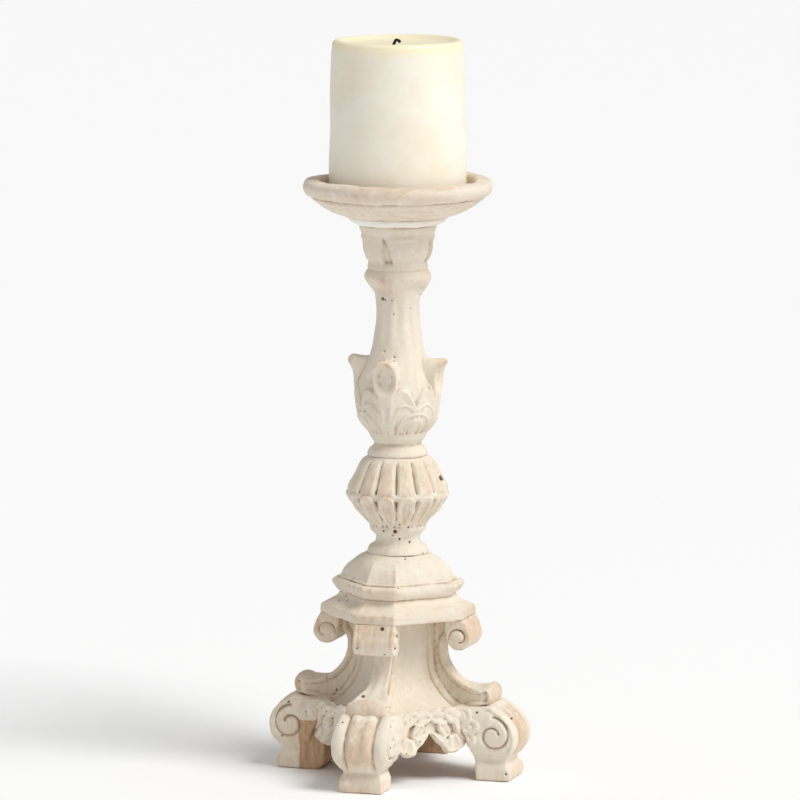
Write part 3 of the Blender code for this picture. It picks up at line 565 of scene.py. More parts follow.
BRACKET_HOLES = {
    "front_left": [
        (42.3, 4.7, 87.3, *WIDE_HOLE), (44.8, -8.9, 76.2, *PINHOLE), (42.7, 6.2, 73.1, *PINHOLE),
        (44.8, -5.4, 49.9, *WIDE_HOLE),
    ],
    "back_left": [
        (39.2, 6.4, 50.3, *PINHOLE), (34.6, 3.6, 43.8, *PINHOLE),
    ],
}
volute_wood = painted_wood("whitewashed_bracket_wood", grain=(1, 1, 0.2), wear=0.5, hollow_shade=0.7)
bracket_seed = 20
for corner, turn in CORNERS.items():
    droop = CURL_DROOP[corner]
    mesh = carved(f"scroll_bracket_{corner}_carved", (12, -13, 34), (60.5, 13, 89.5),
                  lambda r, y, z: bracket_wood(r, y, z, droop), seed=bracket_seed, worn=bracket_worn,
                  holes=BRACKET_HOLES.get(corner, ()))
    mesh.transform(Matrix.Rotation(math.radians(turn), 4, "Z"))
    fit(f"scroll_bracket_{corner}_carved", mesh, volute_wood, "candlestick", "whitewashed_wood",
        f"scroll_bracket_{corner}")
    bracket_seed += 2


# ---- Feet -----------------------------------------------------------------------------------------
# Each foot is a heavy scroll on a short neck and a square pad, fluted down its front and rolled into
# a spiral on both cheeks. Leaves of the aprons lap over the cheeks, and a dowel pins it to the core.

FOOT_EYE = (57.9, 25.9)
FOOT_OUTLINE = [
    (50.6, 0), (64.6, 0), (66.3, 1.2), (66.8, 3.4), (66.6, 6.2), (65.4, 8.4), (64.4, 9.8), (64.5, 11.6),
    (65.8, 14.6), (67.9, 17.2), (69.3, 19.8), (70.0, 23.2), (69.9, 27.2), (68.6, 30.8), (66.7, 33.5),
    (64.2, 35.9), (61.4, 38.0), (58.4, 39.8), (55.0, 41.6), (51, 41.2), (44, 40.3), (36.5, 40.3),
    (36.5, 33), (40, 30), (43.4, 25), (45.8, 19), (47.6, 13), (48.9, 8.5), (49.2, 1.6),
]
foot_side = drawn(flowing(FOOT_OUTLINE, 3, closed=True))
FOOT_WIDTHS = ([0, 1.0, 7.0, 9.2, 10.6, 12.4, 15.6, 20, 28, 35, 42],
               [12.6, 13.6, 13.8, 12.8, 11.9, 12.0, 14.2, 16.0, 16.6, 16.0, 14.6])
CHEEK_LEAVES = [(41.5, 35.6, 6.6), (46.6, 30.4, 5.0), (45.0, 23.6, 5.4)]


def foot_wood(r, y, z, leafy, outward, slim):
    ay = np.abs(y)
    r = r - outward * ease(r, 49, 55)
    above = ease(z, 10.5, 15)
    swell = 1.8 * (1 - (ay / 16.5) ** 2)
    flute = 1.6 * bump(ay, 8.0, 1.7)
    lobe = 0.8 * bump(ay, 12.4, 4.2) + 0.9 * bump(ay, 4.0, 4.2)
    ridge = 0.35 * bump(ay, 0.0, 0.8)
    front = ease(r, 52, 58)
    away = -foot_side(r, z)
    side = -away + front * above * (flute - swell - lobe - ridge + 0.7)
    scroll = ease(z, 15.5, 18)
    hollow = 0.7 * bump(away, 2.0, 1.4) * scroll * ease(r, 50, 54)
    spiral = 1.9 * spiral_cut(r, z, FOOT_EYE, 100, 460, 10.6, 3.1, 1.25, 0.8)
    step = 0.6 * bump(z, 14.6, 0.9)
    leaf = np.zeros_like(r)
    for x0, z0, radius in CHEEK_LEAVES:
        gap = np.hypot(r - x0 - leafy * (y > 0), z - z0) - radius - 0.6 * leafy * (y > 0)
        rays = 0.25 * np.cos(6 * np.arctan2(z - z0 + 2, r - x0 + 5.5))
        leaf = np.maximum(leaf, ease(-gap, 0, 0.8) * (0.9 + rays - 0.5 * bump(gap, -3.0, 1.2)))
    cheek = (ay + slim * ease(-z, -14, -11) - np.interp(z, *FOOT_WIDTHS)
             + (hollow + spiral) * (1 - ease(leaf, 0, 0.5)) + step - leaf)
    return np.maximum(shared(side, cheek, 1.4), -z)


def rough_block(r, y, z):
    """The plain, unpainted block that was glued behind the back left foot."""
    corner = np.hypot(np.maximum(45.5 - r, 0), np.maximum(7.0 - z, 0)) - 7.0
    return np.maximum(np.maximum(np.maximum(38.5 - r, r - 54.5), np.abs(y) - 13.0),
                      np.maximum(np.maximum(-z, z - 31), corner))


def foot_worn(r, y, z):
    return (0.95 * ease(-np.abs(y), -8.6, -7.0) * ease(r, 60, 64) * ease(z, 13, 18)
            + 0.25 * ease(r, 60, 64) * ease(-z, -9, -6))


def foot_bare(r, y, z):
    back = ease(-foot_side(r, z), 0.6, 1.6)
    inward = ease(-r, -(51.4 - 0.2 * z), -(50.0 - 0.2 * z)) * ease(-np.abs(y), -11.6, -10.8)
    behind = ease(-r, -(50.2 - 0.16 * z), -(48.2 - 0.16 * z)) * (1 - back) * ease(-z, -34, -31)
    return np.maximum(np.maximum(behind, inward * ease(-z, -30, -27)), ease(-z, -0.5, -0.1))


FOOT_HOLES = {
    "front_left": [
        (62.2, -11.7, 38.4, *PINHOLE), (62.7, 16.5, 26.4, *WIDE_HOLE),
    ],
    "back_left": [
        (62.5, 15.7, 18.6, *PINHOLE), (58.9, 14.8, 37.6, *PINHOLE), (48.3, 17.2, 33.8, *PINHOLE),
    ],
    "front_right": [
        (68.0, -6.9, 34.8, *PINHOLE), (50.6, -15.3, 38.5, *PINHOLE), (66.8, -13.6, 4.7, *PINHOLE),
    ],
}
foot_wood_finish = painted_wood("whitewashed_foot_wood", grain=(1, 1, 0.2), wear=0.45, hollow_shade=0.6)
foot_seed = 40
for corner, turn in CORNERS.items():
    leafy = 4.5 if corner == "front_left" else 0.0
    outward = 2.0 if corner == "front_right" else 0.0
    blocked = corner == "back_left"

    def wood(r, y, z):
        shape = foot_wood(r, y, z, leafy, outward, 1.4 if leafy else 0.0)
        return np.minimum(shape, rough_block(r, y, z)) if blocked else shape

    def bare(r, y, z):
        unpainted = foot_bare(r - outward * ease(r, 49, 55), y, z)
        return np.maximum(unpainted, ease(-r, -53.4, -52.6) * ease(-z, -30, -27) * blocked)

    mesh = carved(f"scroll_foot_{corner}_carved", (34, -19, 0), (74, 19, 44),
                  wood, seed=foot_seed, worn=foot_worn, bare=bare,
                  holes=FOOT_HOLES.get(corner, ()))
    for vertex in mesh.vertices:
        vertex.co.z = max(vertex.co.z, 0.0)
    mesh.transform(Matrix.Rotation(math.radians(turn), 4, "Z"))
    fit(f"scroll_foot_{corner}_carved", mesh, foot_wood_finish, "candlestick", "whitewashed_wood",
        f"scroll_foot_{corner}")
    foot_seed += 2


# ---- Aprons ---------------------------------------------------------------------------------------
# A thin board between each two feet, cut to a small arch and carved with leaves that spread from the
# middle and hang down beside the feet.

LEAVES = [  # along, height, half length, half width, tilt in degrees, how far it stands out
    (5.4, 36.0, 6.4, 3.6, -12, 2.0), (13.6, 36.4, 6.6, 4.2, -30, 2.6), (8.0, 29.6, 5.2, 3.2, -52, 2.6),
    (18.6, 30.6, 8.6, 4.4, -66, 3.0),
]


apron_outline = drawn([
    (-30, 16.5), (8.5, 16.6), (10.4, 15.6), (13.4, 15.0), (16.4, 15.6), (18.6, 17.2), (20.4, 19.6),
    (22, 21.4), (22, 40.2), (-30, 40.2),
])
apron_arch = drawn([
    (-30, 10), (9.0, 10), (8.8, 17.0), (7.9, 18.9), (6.2, 20.6), (4.2, 22.4), (2.4, 24.4), (1.0, 26.4),
    (0, 27.4), (-30, 27.4),
])


def apron_wood(x, s, z):
    a = np.abs(s)
    shift = s + 0.8 * np.sin(z * 0.3)
    plate = apron_outline(np.abs(shift), z + 0.9 * np.cos(a * 0.62) * ease(z, 34, 38))
    arch = apron_arch(a, z)
    rise = np.zeros_like(x)
    for along, height, length, width, tilt, proud in LEAVES:
        t = math.radians(tilt)
        u = ((a - along) * math.cos(t) + (z - height) * math.sin(t)) / length
        v = (-(a - along) * math.sin(t) + (z - height) * math.cos(t)) / width
        away = np.hypot(u, v)
        plate = joined(plate, (away - 1) * width * 0.85, 1.0)
        rim = 0.5 * bump(away, 0.8, 0.2)
        leaf = (proud * (0.5 + 0.6 * np.sqrt(np.maximum(1 - away**2, 0))) * (away < 1) + rim
                - 0.7 * bump(v, 0, 0.45) * ease(-away, -0.8, -0.5))
        rise = np.maximum(rise, leaf)
    from_fan = np.hypot(a - 12.6, z - 28.0)
    fan = ease(12.4 - from_fan, 0, 1.4) * ease(28.5 - z, 0, 2.5) * ease(from_fan, 1.0, 4)
    rays = 0.55 * np.cos(8 * np.arctan2(z - 28.0, a - 12.6) + 0.8)
    rise = np.maximum(rise, fan * (2.6 + rays + 0.6 * bump(from_fan, 10.8, 1.6)))
    rise = rise * ease(arch, 0.3, 1.4) + 0.5 * bump(arch, 0.9, 0.9)
    plate = np.maximum(plate, -arch)
    return shared(plate, np.maximum(x - 38.4 - rise, 36.2 - x), 0.8)


APRON_HOLES = {
    "left": [
        (40.5, 11.9, 41.4, *PINHOLE), (41.5, -9.1, 24.4, *PINHOLE), (41.4, -11.8, 22.3, *PINHOLE),
        (41.3, -13.5, 20.7, *PINHOLE),
    ],
    "front": [
        (41.4, -15.4, 18.0, *PINHOLE), (41.5, 10.4, 24.7, *WIDE_HOLE), (40.5, -7.4, 24.1, *PINHOLE),
    ],
}
apron_finish = painted_wood("whitewashed_apron_wood", grain=(1, 1, 0.3), wear=0.35, hollow_shade=0.75)
apron_seed = 60
for side, turn in SIDES.items():
    mesh = carved(f"leaf_apron_{side}_carved", (35.5, -25, 14), (43.5, 25, 43), apron_wood, seed=apron_seed,
                  settle=3,
                  holes=APRON_HOLES.get(side, ()),
                  bare=lambda x, y, z: ease(-x, -37.4, -36.6))
    mesh.transform(Matrix.Rotation(math.radians(turn), 4, "Z"))
    fit(f"leaf_apron_{side}_carved", mesh, apron_finish, "candlestick", "whitewashed_wood",
        f"leaf_apron_{side}")
    apron_seed += 2


# ---- Cornice --------------------------------------------------------------------------------------
# A square slab with its corners cut, moulded on top, which covers the heads of the core and brackets.

CORNER_RATIO = 1.115
CORNICE_SECTION = [
    (-30, 88.92), (41.5, 88.92), (41.7, 93.1), (41.3, 93.9), (39.5, 94.7), (37.0, 95.7), (34.6, 96.9),
    (32.8, 98.2), (31.7, 99.4), (31.3, 100.6), (31.3, 100.9), (-30, 100.9),
]
cornice_section = drawn(CORNICE_SECTION)


def from_axis(x, y, roundness=0.0):
    """Distance from the axis for an eight-sided piece with narrow corners, eased towards a circle."""
    ax, ay = np.abs(x), np.abs(y)
    flat = np.maximum(CORNER_RATIO * np.maximum(ax, ay), (ax + ay) / SQRT2)
    return flat + (np.hypot(x, y) - flat) * roundness


def across_corner(x, y):
    """Distance out along the nearest diagonal, and distance aside from it."""
    ax, ay = np.abs(x), np.abs(y)
    return (ax + ay) / SQRT2, np.abs(ax - ay) / SQRT2


def cornice_wood(x, y, z):
    return np.maximum(cornice_section(from_axis(x, y), z), SCREW_BORE - np.hypot(x, y))


def cornice_worn(x, y, z):
    diagonal, aside = across_corner(x, y)
    chamfer = ease(diagonal, 39, 41) * ease(-aside, -11.6, -10) * ease(-z, -94.6, -93.6)
    return 0.15 * ease(z, 92.2, 93.2) * ease(-z, -95.4, -94.4) + 0.6 * chamfer


CORNICE_HOLES = [
    (-28.5, 7.1, 99.3, *PINHOLE), (-31.5, 9.6, 96.9, *PINHOLE), (-29.7, 2.7, 97.9, *PINHOLE),
    (-37.0, -16.2, 93.7, *PINHOLE),
]
cornice_mesh = carved("moulded_cornice", (-39, -39, 88), (39, 39, 101.5), cornice_wood, seed=71, uneven=0.2,
                      worn=cornice_worn,
                      holes=CORNICE_HOLES)
moulding_wood = painted_wood("whitewashed_moulding_wood", grain=(0.12, 1, 1), wear=0.36, hollow_shade=0.6)
fit("moulded_cornice", cornice_mesh, moulding_wood, "candlestick", "whitewashed_wood", "cornice")


# ---- Dome -----------------------------------------------------------------------------------------
# An eight-sided dome over a thick lip, cut from one block: its corner facets run up and fade into the
# round seat of the knop, and the lip's corners are drawn out to points.

DOWEL_HOLE = 6.3
ARRIS_SLOPE = 0.268
DOME_SECTION = [
    (-30, 100.95), (31.5, 100.95), (32.8, 101.9), (33.8, 103.3), (34.2, 105.0), (34.0, 106.7),
    (33.2, 107.8), (32.1, 108.2), (30.7, 108.2), (30.6, 108.7), (31.4, 109.1), (31.2, 109.7), (30.0, 109.8),
    (29.7, 110.3), (29.4, 111.0), (28.7, 112.6), (28.0, 114.1), (27.2, 115.4), (26.3, 116.7), (25.2, 117.9),
    (23.8, 119.2), (22.0, 120.5), (20.0, 121.6), (18.3, 122.4), (17.1, 122.95), (-30, 122.95),
]
dome_section = drawn(DOME_SECTION)


def dome_wood(x, y, z):
    round_off = ease(z, 115, 122.5)
    out = from_axis(x, y, round_off)
    diagonal, aside = across_corner(x, y)
    horn = ease(diagonal, 28, 34) * bump(z, 106.8, 3.4)
    arris = 0.45 * bump(aside, out * ARRIS_SLOPE, 0.9) * ease(z, 108.5, 110) * (1 - round_off)
    section = dome_section(out - 1.3 * horn - arris, z - 0.7 * ease(diagonal, 31, 34) * ease(z, 104, 106))
    return np.maximum(section, DOWEL_HOLE - np.hypot(x, y))


def dome_wear_and_shade(x, y, z):
    diagonal, aside = across_corner(x, y)
    # The arrises take more rubbed tan on the front left, the side away from the light: part wear, part
    # painted shade.
    left = ease(-x, 2, 10) * ease(-y, 2, 10)
    arris = bump(aside, diagonal * ARRIS_SLOPE, 2.2) * ease(z, 109, 111) * ease(-z, -120, -115)
    return 0.3 * ease(diagonal, 33, 35) + 0.5 * arris * (0.3 + 0.7 * left)


DOME_HOLES = [
    (-4.5, -17.5, 121.4, *PINHOLE), (4.6, -20.3, 118.9, *PINHOLE), (-10.2, -17.9, 119.1, *PINHOLE),
    (-14.5, -28.8, 108.4, *PINHOLE), (-30.6, -0.9, 106.3, *PINHOLE), (-29.2, -0.6, 101.7, *PINHOLE),
]
dome_mesh = carved("faceted_dome", (-38, -38, 100), (38, 38, 123.6), dome_wood, seed=73, uneven=0.2,
                   worn=dome_wear_and_shade,
                   holes=DOME_HOLES)
fit("faceted_dome", dome_mesh, upright_wood, "candlestick", "whitewashed_wood", "dome_block")


# ---- Knop -----------------------------------------------------------------------------------------
# Turned, then carved: fourteen rounded ribs run down to the widest part, and below it each ends in a
# looped petal that narrows to the foot ring.

KNOP_SECTION = [
    (0, 123.0), (16.9, 123.0), (17.1, 123.5), (16.8, 124.5), (16.5, 125.6), (16.0, 126.6), (15.1, 127.4),
    (13.9, 127.9), (12.7, 129.0), (12.2, 130.4), (12.3, 132.0), (12.9, 133.4), (13.9, 134.6), (15.2, 135.8),
    (15.6, 137.2), (15.7, 138.8), (16.6, 140.2), (18.9, 142.9), (21.1, 145.1), (23.6, 147.8), (25.8, 151.4),
    (27.4, 154.0), (28.2, 156.2), (27.9, 158.5), (27.2, 160.8), (26.1, 163), (24.8, 165.2), (23.6, 167.5),
    (22.3, 170.3), (21.1, 172.9), (19.3, 175.2), (17.2, 176.4), (16.5, 177.45), (0, 177.45),
]
PETAL = [(0, 157.8), (2.4, 157.2), (4.2, 155.2), (5.1, 152.0), (5.2, 148), (4.7, 144.0), (3.7, 140.8),
         (2.2, 139.0), (0, 138.4)]
PETAL_DISH = [(0, 155.0), (1.6, 154.4), (2.8, 152.6), (3.1, 149), (2.8, 145), (1.9, 141.8), (0.9, 139.8),
              (0, 139.4)]
RIBS = 14
FIRST_GROOVE = -29.0
knop_section = drawn(KNOP_SECTION)
petal_line, dish_line = (
    drawn([*line, *[(-u, v) for u, v in line[::-1]]], 0.2) for line in (PETAL, PETAL_DISH))


def turned_from(x, y, degrees):
    """Angle about the axis in degrees, measured clockwise from -Y as it is seen from above."""
    return np.degrees(np.arctan2(x, -y)) - degrees


def across_rib(x, y):
    """Place across a rib: 0 along its middle, -0.5 and 0.5 in the grooves beside it."""
    return ((turned_from(x, y, FIRST_GROOVE) / (360 / RIBS)) % 1) - 0.5


def knop_wood(x, y, z):
    r = np.hypot(x, y)
    spacing = 2 * math.pi * np.maximum(r, 12) / RIBS
    away = np.abs(across_rib(x, y))
    groove = (0.5 - away) * spacing
    upper = np.interp(z, [140, 150.5, 154, 158, 166, 174.4, 176.4], [0.0, 1.2, 2.4, 2.2, 1.7, 1.2, 0.0])
    cut = (upper * np.clip(1 - groove / 1.7, 0, 1) ** 1.3
           + 0.9 * (away / 0.5) ** 2 * ease(z, 154, 158) * ease(-z, -176, -172))
    across = away * 11.5
    beyond, dished = petal_line(across, z), -dish_line(across, z)
    lower = ease(z, 137.6, 139.2) * ease(-z, -159.6, -157.6)
    depth = 0.3 + 0.7 * ease(z, 139, 148)
    stem = 0.9 * bump(groove, 0, 0.9) * ease(-z, -149.5, -147)
    pit = 1.4 * bump(groove, 0, 1.6) * bump(z, 152.5, 3.4)
    outside = np.interp(z, [152.5, 157], [2.0, 0.8])
    petal = (outside * ease(beyond, -0.25, 0.6) - stem + pit + 1.0 * ease(dished, -0.2, 0.9)
             - 0.45 * bump(beyond, -0.9, 0.8))
    cut = cut * (1 - lower) + petal * depth * lower
    return np.maximum(knop_section(r, z) + cut, DOWEL_HOLE - r)


def knop_worn(x, y, z):
    s = np.abs(across_rib(x, y))
    pattern = 0.5 + 0.5 * np.sin(turned_from(x, y, 40) / 57.3 * 3.0)
    ribs = ease(-s, -0.36, -0.2) * ease(z, 154, 158) * ease(-z, -175.5, -172)
    petals = ease(-s, -0.24, -0.16) * ease(z, 140, 142) * ease(-z, -153, -150)
    return (0.35 + 0.3 * pattern) * ribs + 0.6 * petals


BROKEN_KNOT = (1.3, 3.0)
KNOP_HOLES = [
    (19.4, -14.9, 164.9, *BROKEN_KNOT), (-6.7, -15.2, 140.7, *PINHOLE), (-8.3, -12.8, 136.6, *WIDE_HOLE),
    (-8.4, -10.7, 134.2, *PINHOLE), (-4.7, -11.3, 132.1, *PINHOLE), (1.1, -12.1, 130.1, *PINHOLE),
    (-12.9, -8.0, 136.7, *PINHOLE), (-1.2, -14.8, 139.1, *PINHOLE), (7.8, -15.3, 123.4, *PINHOLE),
]
knop_mesh = carved("ribbed_knop", (-30, -30, 122), (30, 30, 178), knop_wood, seed=75, uneven=0.14,
                   worn=knop_worn,
                   holes=KNOP_HOLES)
knop_finish = painted_wood("whitewashed_knop_wood", wear=0.42, hollow_shade=0.8)
fit("ribbed_knop", knop_mesh, knop_finish, "candlestick", "whitewashed_wood", "fluted_knop")


# ---- Column ---------------------------------------------------------------------------------------
# One turned length from the knop to the pan, carved with four leaves that wrap the bulb and curl free
# at their tips, a drooping leaf collar at the top of the shaft, and a capital of four broad petals.

TENON_RADIUS = 9.0
SPIKE_HOLE = 2.3
COLUMN_SECTION = [
    (0, 177.5), (16.7, 177.5), (16.7, 179.0), (15.8, 181.0), (14.2, 182.4), (13.2, 183.6), (13.1, 184.6),
    (13.8, 185.6), (15.0, 187.0), (15.7, 188.4), (15.7, 189.8), (15.2, 190.8), (16.2, 191.8), (18.8, 194.0),
    (20.8, 196.5), (21.9, 199.0), (22.7, 203.0), (23.1, 209.8), (22.9, 214.2), (21.8, 218.4), (19.6, 223.0),
    (17.4, 228.0), (15.5, 232.6), (14.2, 236.8), (13.3, 241.6), (12.5, 247.0), (11.9, 252.4), (11.8, 258.6),
    (12.1, 263.2), (12.7, 267.4), (13.6, 271.4), (14.4, 276.0), (15.0, 279.4), (16.2, 281.6), (16.3, 283.4),
    (16.3, 285.2), (17.6, 287.2), (18.6, 289.8), (19.3, 293.0), (19.7, 297.0), (20.0, 300.6), (20.9, 302.6),
    (21.3, 304.2), (20.8, 305.2), (0, 305.2),
]
COLLAR_LEAF = [
    (11, 283.2), (16.2, 283.1), (16.8, 282.0), (16.2, 280.6), (16.9, 279.8), (18.0, 278.0), (18.3, 276.0),
    (17.5, 273.8), (16.0, 271.2), (14.7, 269.0), (13.8, 267.6), (12.8, 266.8), (11, 268),
]
LEAF_TIP = [
    (12, 206), (23.4, 206), (23.9, 211), (23.3, 216.0), (22.9, 219.6), (23.3, 223.2), (24.6, 226.2),
    (26.6, 228.8), (27.4, 230.4), (27.0, 232.0), (25.2, 232.4), (22.6, 231.6), (18.6, 231.4), (14.5, 232.4),
    (12, 233),
]
SIDE_LOBE = [
    (1.9, 188), (1.8, 196), (2.0, 203), (4.0, 209.6), (7.2, 214.2), (10.6, 216.0), (13.8, 214.4),
    (16.6, 209.6), (18.6, 204.6), (18.6, 188),
]
LEAF_VEINS = [  # points (across the leaf, height), width, how far it stands out
    ([(2.2, 189), (2.2, 197), (2.8, 205), (4.4, 211), (7.2, 217), (7.7, 222)], 1.0, 0.75),
    ([(0.2, 189), (0.2, 197), (0.5, 206), (0.6, 213)], 0.75, 0.5),
    ([(1.9, 191), (1.9, 199), (2.4, 204.4), (4.8, 210.4), (8.0, 214.4), (10.8, 215.6), (13.8, 213.8),
      (16.2, 209.6), (18, 205)], 1.15, 0.95),
    ([(4.2, 189), (4.2, 197), (5.6, 202.6), (8.4, 206.4), (11.6, 207.6), (15, 206), (17.4, 203.6)], 0.95,
     0.8),
    ([(6.9, 189), (7.3, 194), (9.6, 198.8), (13.4, 201.8), (17.0, 202.4), (18.8, 202.2)], 1.0, 0.9),
    ([(12.2, 189.4), (12.7, 194), (14.8, 197.6), (17.4, 199), (18.9, 199)], 1.0, 0.8),
]


def stroke(u, v, points, width):
    """1 along a smooth line through the points, and 0 from width away from it."""
    line = flowing(points, 5)
    near = np.full(np.shape(u), 1e9)
    for start, end in zip(line, line[1:]):
        near = np.minimum(near, gap_to(u, v, start, end))
    return ease(width - np.sqrt(near), 0, width)


def leafwork():
    """The carved relief of the bulb on a flat sheet: across one leaf from its middle, and height."""
    lobe = drawn(SIDE_LOBE)

    def height(u, v):
        half = np.interp(v, [189, 198, 206, 212, 218], [2.5, 2.3, 2.8, 4.2, 7.6])
        rise = 0.55 * ease(half - u, 0, 0.8)
        rise = np.maximum(rise, 0.6 * ease(-lobe(u, v), 0, 0.7) - 0.35 * ease(-lobe(u, v), 1.6, 3.6))
        for points, width, proud in LEAF_VEINS:
            line = stroke(u, v, points, width)
            rise = rise * (1 - line) + np.maximum(rise, proud) * line
        return rise * ease(v, 188.6, 191)

    return height


def tabled(draw, u_span, v_span, step=0.2):
    """Work a sheet out once on a fine grid, and read values off it smoothly afterwards."""
    us, vs = (np.arange(a, b + step, step) for a, b in (u_span, v_span))
    return read_off(draw(*np.meshgrid(us, vs, indexing="ij")), (us[0], vs[0]), step)


column_section, collar_leaf, leaf_tip = drawn(COLUMN_SECTION), drawn(COLLAR_LEAF), drawn(LEAF_TIP)
bulb_relief = tabled(leafwork(), (0, 19), (186, 222))


def from_leaf(x, y):
    """Angle in degrees from the middle of the nearest of the four leaves."""
    return (turned_from(x, y, 0) % 90) - 45


def column_wood(x, y, z):
    r = np.hypot(x, y)
    turn = from_leaf(x, y)
    bend = turn + 1.5 * np.sin(z * 0.21 + 0.04 * (x - y)) * ease(z, 196, 204) * ease(-z, -226, -216)
    across = np.abs(bend) * math.pi / 180 * 23.2
    facets = 0.22 * np.cos(11 * np.radians(turned_from(x, y, 7))) * ease(z, 236, 242) * ease(-z, -268, -262)
    cut_back = 0.7 * ease(z, 190, 195) * ease(-z, -222, -214)
    relief = 1.75 * bulb_relief(across, z) * ease(r, 13, 15) * ease(-z, -221, -215)
    wood = column_section(r, z) + cut_back - relief + facets

    # The leaf's free tip: a thin tongue, hollowed like a spoon, that bends outwards.
    along, side = r * np.cos(np.radians(turn)), np.abs(r * np.sin(np.radians(turn)))
    rounded = np.sqrt(np.clip(1 - ((z - 224.5) / 8.0) ** 2 * (z > 224.5), 0.02, 1))
    half = np.interp(z, [206, 212, 217, 222, 226], [2.6, 4.4, 6.6, 7.2, 7.0]) * rounded
    spoon = 0.8 * (side / 6.6) ** 2 * ease(z, 213, 219)
    dish = 1.7 * ease(1.15 - np.hypot(side / 5.6, (z - 222) / 8.4), 0, 0.5) * ease(along, 19, 21)
    cup = 4.5 - np.hypot(np.hypot(along - 21.5, side), z - 235.0)
    tongue = shared(leaf_tip(along - spoon, z), side - half, 0.7)
    wood = joined(wood, np.maximum(tongue, cup), 0.6) + dish * (side < 7)

    # The drooping collar of leaves: lowest below the foot directions, drawn up between them.
    lift = 1.35 - 0.4 * np.cos(np.radians(turn * 4)) + 0.14 * np.sin(turned_from(x, y, 0) / 13)
    drop = np.where(z < 276, 276 - (276 - z) * lift, z)
    swell = 0.5 * np.cos(np.radians(turn * 4)) * bump(z, 274, 6)
    wood = joined(wood, collar_leaf(r - swell, drop), 0.5)

    # The capital: a narrow sunk leaf beside each foot direction, between the edges of two broad petals.
    left, right = -10.0, np.interp(z, [283, 296, 301], [12.0, 0.5, -6.0])
    sunk = ease(turn - left, 0, 3.0) * ease(right - turn, 0, 3.0) * ease(z, 283.4, 286) * ease(-z, -301, -297)
    rim = bump(turn - right, 0.5, 2.4) * ease(z, 283.4, 286) * ease(-z, -299, -296)
    sweep = bump(z, 297.6 + 0.012 * (turn + 45), 1.6) * ease(turn, 4, 14)
    flare = ease(z, 298.6, 302.4) * bump(turn, -6, 17)
    wood = (wood + 1.5 * sunk - 0.9 * rim - 0.6 * sweep - 1.1 * flare * ease(r, 15, 19)
            + 0.4 * bump(turn, -22, 6) * bump(z, 292, 9))

    # The tenon in the pan, and the holes for the dowel and the spike.
    tenon = np.maximum(r - TENON_RADIUS, np.maximum(300 - z, z - 316.7))
    wood = np.minimum(wood, tenon)
    dowel_hole = np.maximum(r - DOWEL_HOLE, z - 202.5)
    spike_hole = np.maximum(r - SPIKE_HOLE, 298.5 - z)
    return np.maximum(wood, -np.minimum(dowel_hole, spike_hole))


def column_wear_and_shade(x, y, z):
    turn = from_leaf(x, y)
    # More rubbed tan on the side to the camera's left: wear on the collar leaves, with painted shade added on
    # the side away from the light.
    left = ease(-(x * math.cos(math.radians(27)) + y * -math.sin(math.radians(27))), 0, 14)
    tips = ease(z, 226.5, 229) * ease(-z, -233, -231) * ease(np.hypot(x, y), 23.5, 26)
    droop = ease(-np.abs(turn), -24, -8) * ease(z, 266, 268.5) * ease(-z, -279, -276)
    sunk = bump(turn, -3, 11) * ease(z, 284, 287) * ease(-z, -300, -295)
    return 0.75 * tips + droop * (0.25 + 0.5 * left) + 0.35 * sunk


COLUMN_HOLES = [
    (-12.5, -4.3, 264.8, *WIDE_HOLE), (-11.5, -6.0, 264.4, *PINHOLE), (-9.2, -9.8, 264.2, *PINHOLE),
    (2.3, -12.5, 259.4, *PINHOLE), (-8.2, -10.3, 256.5, *PINHOLE), (-13.0, -7.7, 236.6, *PINHOLE),
    (-9.0, -13.0, 233.7, *PINHOLE), (-9.3, -13.7, 231.6, *PINHOLE), (-13.5, -9.8, 231.3, *PINHOLE),
    (-15.0, -18.2, 218.7, *PINHOLE),
]
column_mesh = carved("carved_leaf_column", (-30, -30, 176), (30, 30, 317.5), column_wood, seed=81,
                     cell=0.55, uneven=0.14, worn=column_wear_and_shade,
                     holes=COLUMN_HOLES)
fit("carved_leaf_column", column_mesh, upright_wood, "candlestick", "whitewashed_wood", "carved_column")


# ---- Collar ---------------------------------------------------------------------------------------
# A thin turned ring between the column and the pan, cut back to a cone underneath. It took the paint best.

collar_section = drawn([
    (9.3, 309.6), (26.9, 309.6), (27.2, 308.9), (26.8, 307.8), (25.9, 306.9), (24.2, 306.1), (22.4, 305.3),
    (9.3, 305.3),
])


def collar_wood(x, y, z):
    return collar_section(np.hypot(x, y), z)


collar_mesh = carved("turned_collar", (-29, -29, 304), (29, 29, 310), collar_wood, seed=83, cell=0.4,
                     uneven=0.12)
collar_finish = painted_wood("thick_whitewash", grain=(1, 1, 1), wear=0.1, hollow_shade=0.5, paint=(246, 244, 236))
fit("turned_collar", collar_mesh, collar_finish, "candlestick", "whitewashed_wood", "pan_collar")


# ---- Pan ------------------------------------------------------------------------------------------
# A shallow turned bowl with a broad rim and one scored line under it, a little warped with age.
# Its grain runs across, and less paint stayed on it.

PAN_SECTION = [
    (2.3, 320.2), (9.3, 320.2), (9.3, 322.0), (40.2, 322.0), (41.4, 322.6), (42.0, 324.0), (42.3, 328.6),
    (43.2, 329.8), (45.4, 330.1), (48.4, 329.9), (50.6, 329.2), (51.5, 327.8), (51.7, 326.2), (51.2, 324.4),
    (50.3, 322.6), (49.1, 321.2), (48.2, 320.6), (47.3, 320.0), (45.6, 318.3), (42.6, 315.9), (39.0, 313.6),
    (34.4, 311.6), (30.4, 310.3), (28.0, 309.65), (9.3, 309.65), (9.3, 317.0), (2.3, 317.0),
]
pan_section = drawn(PAN_SECTION)


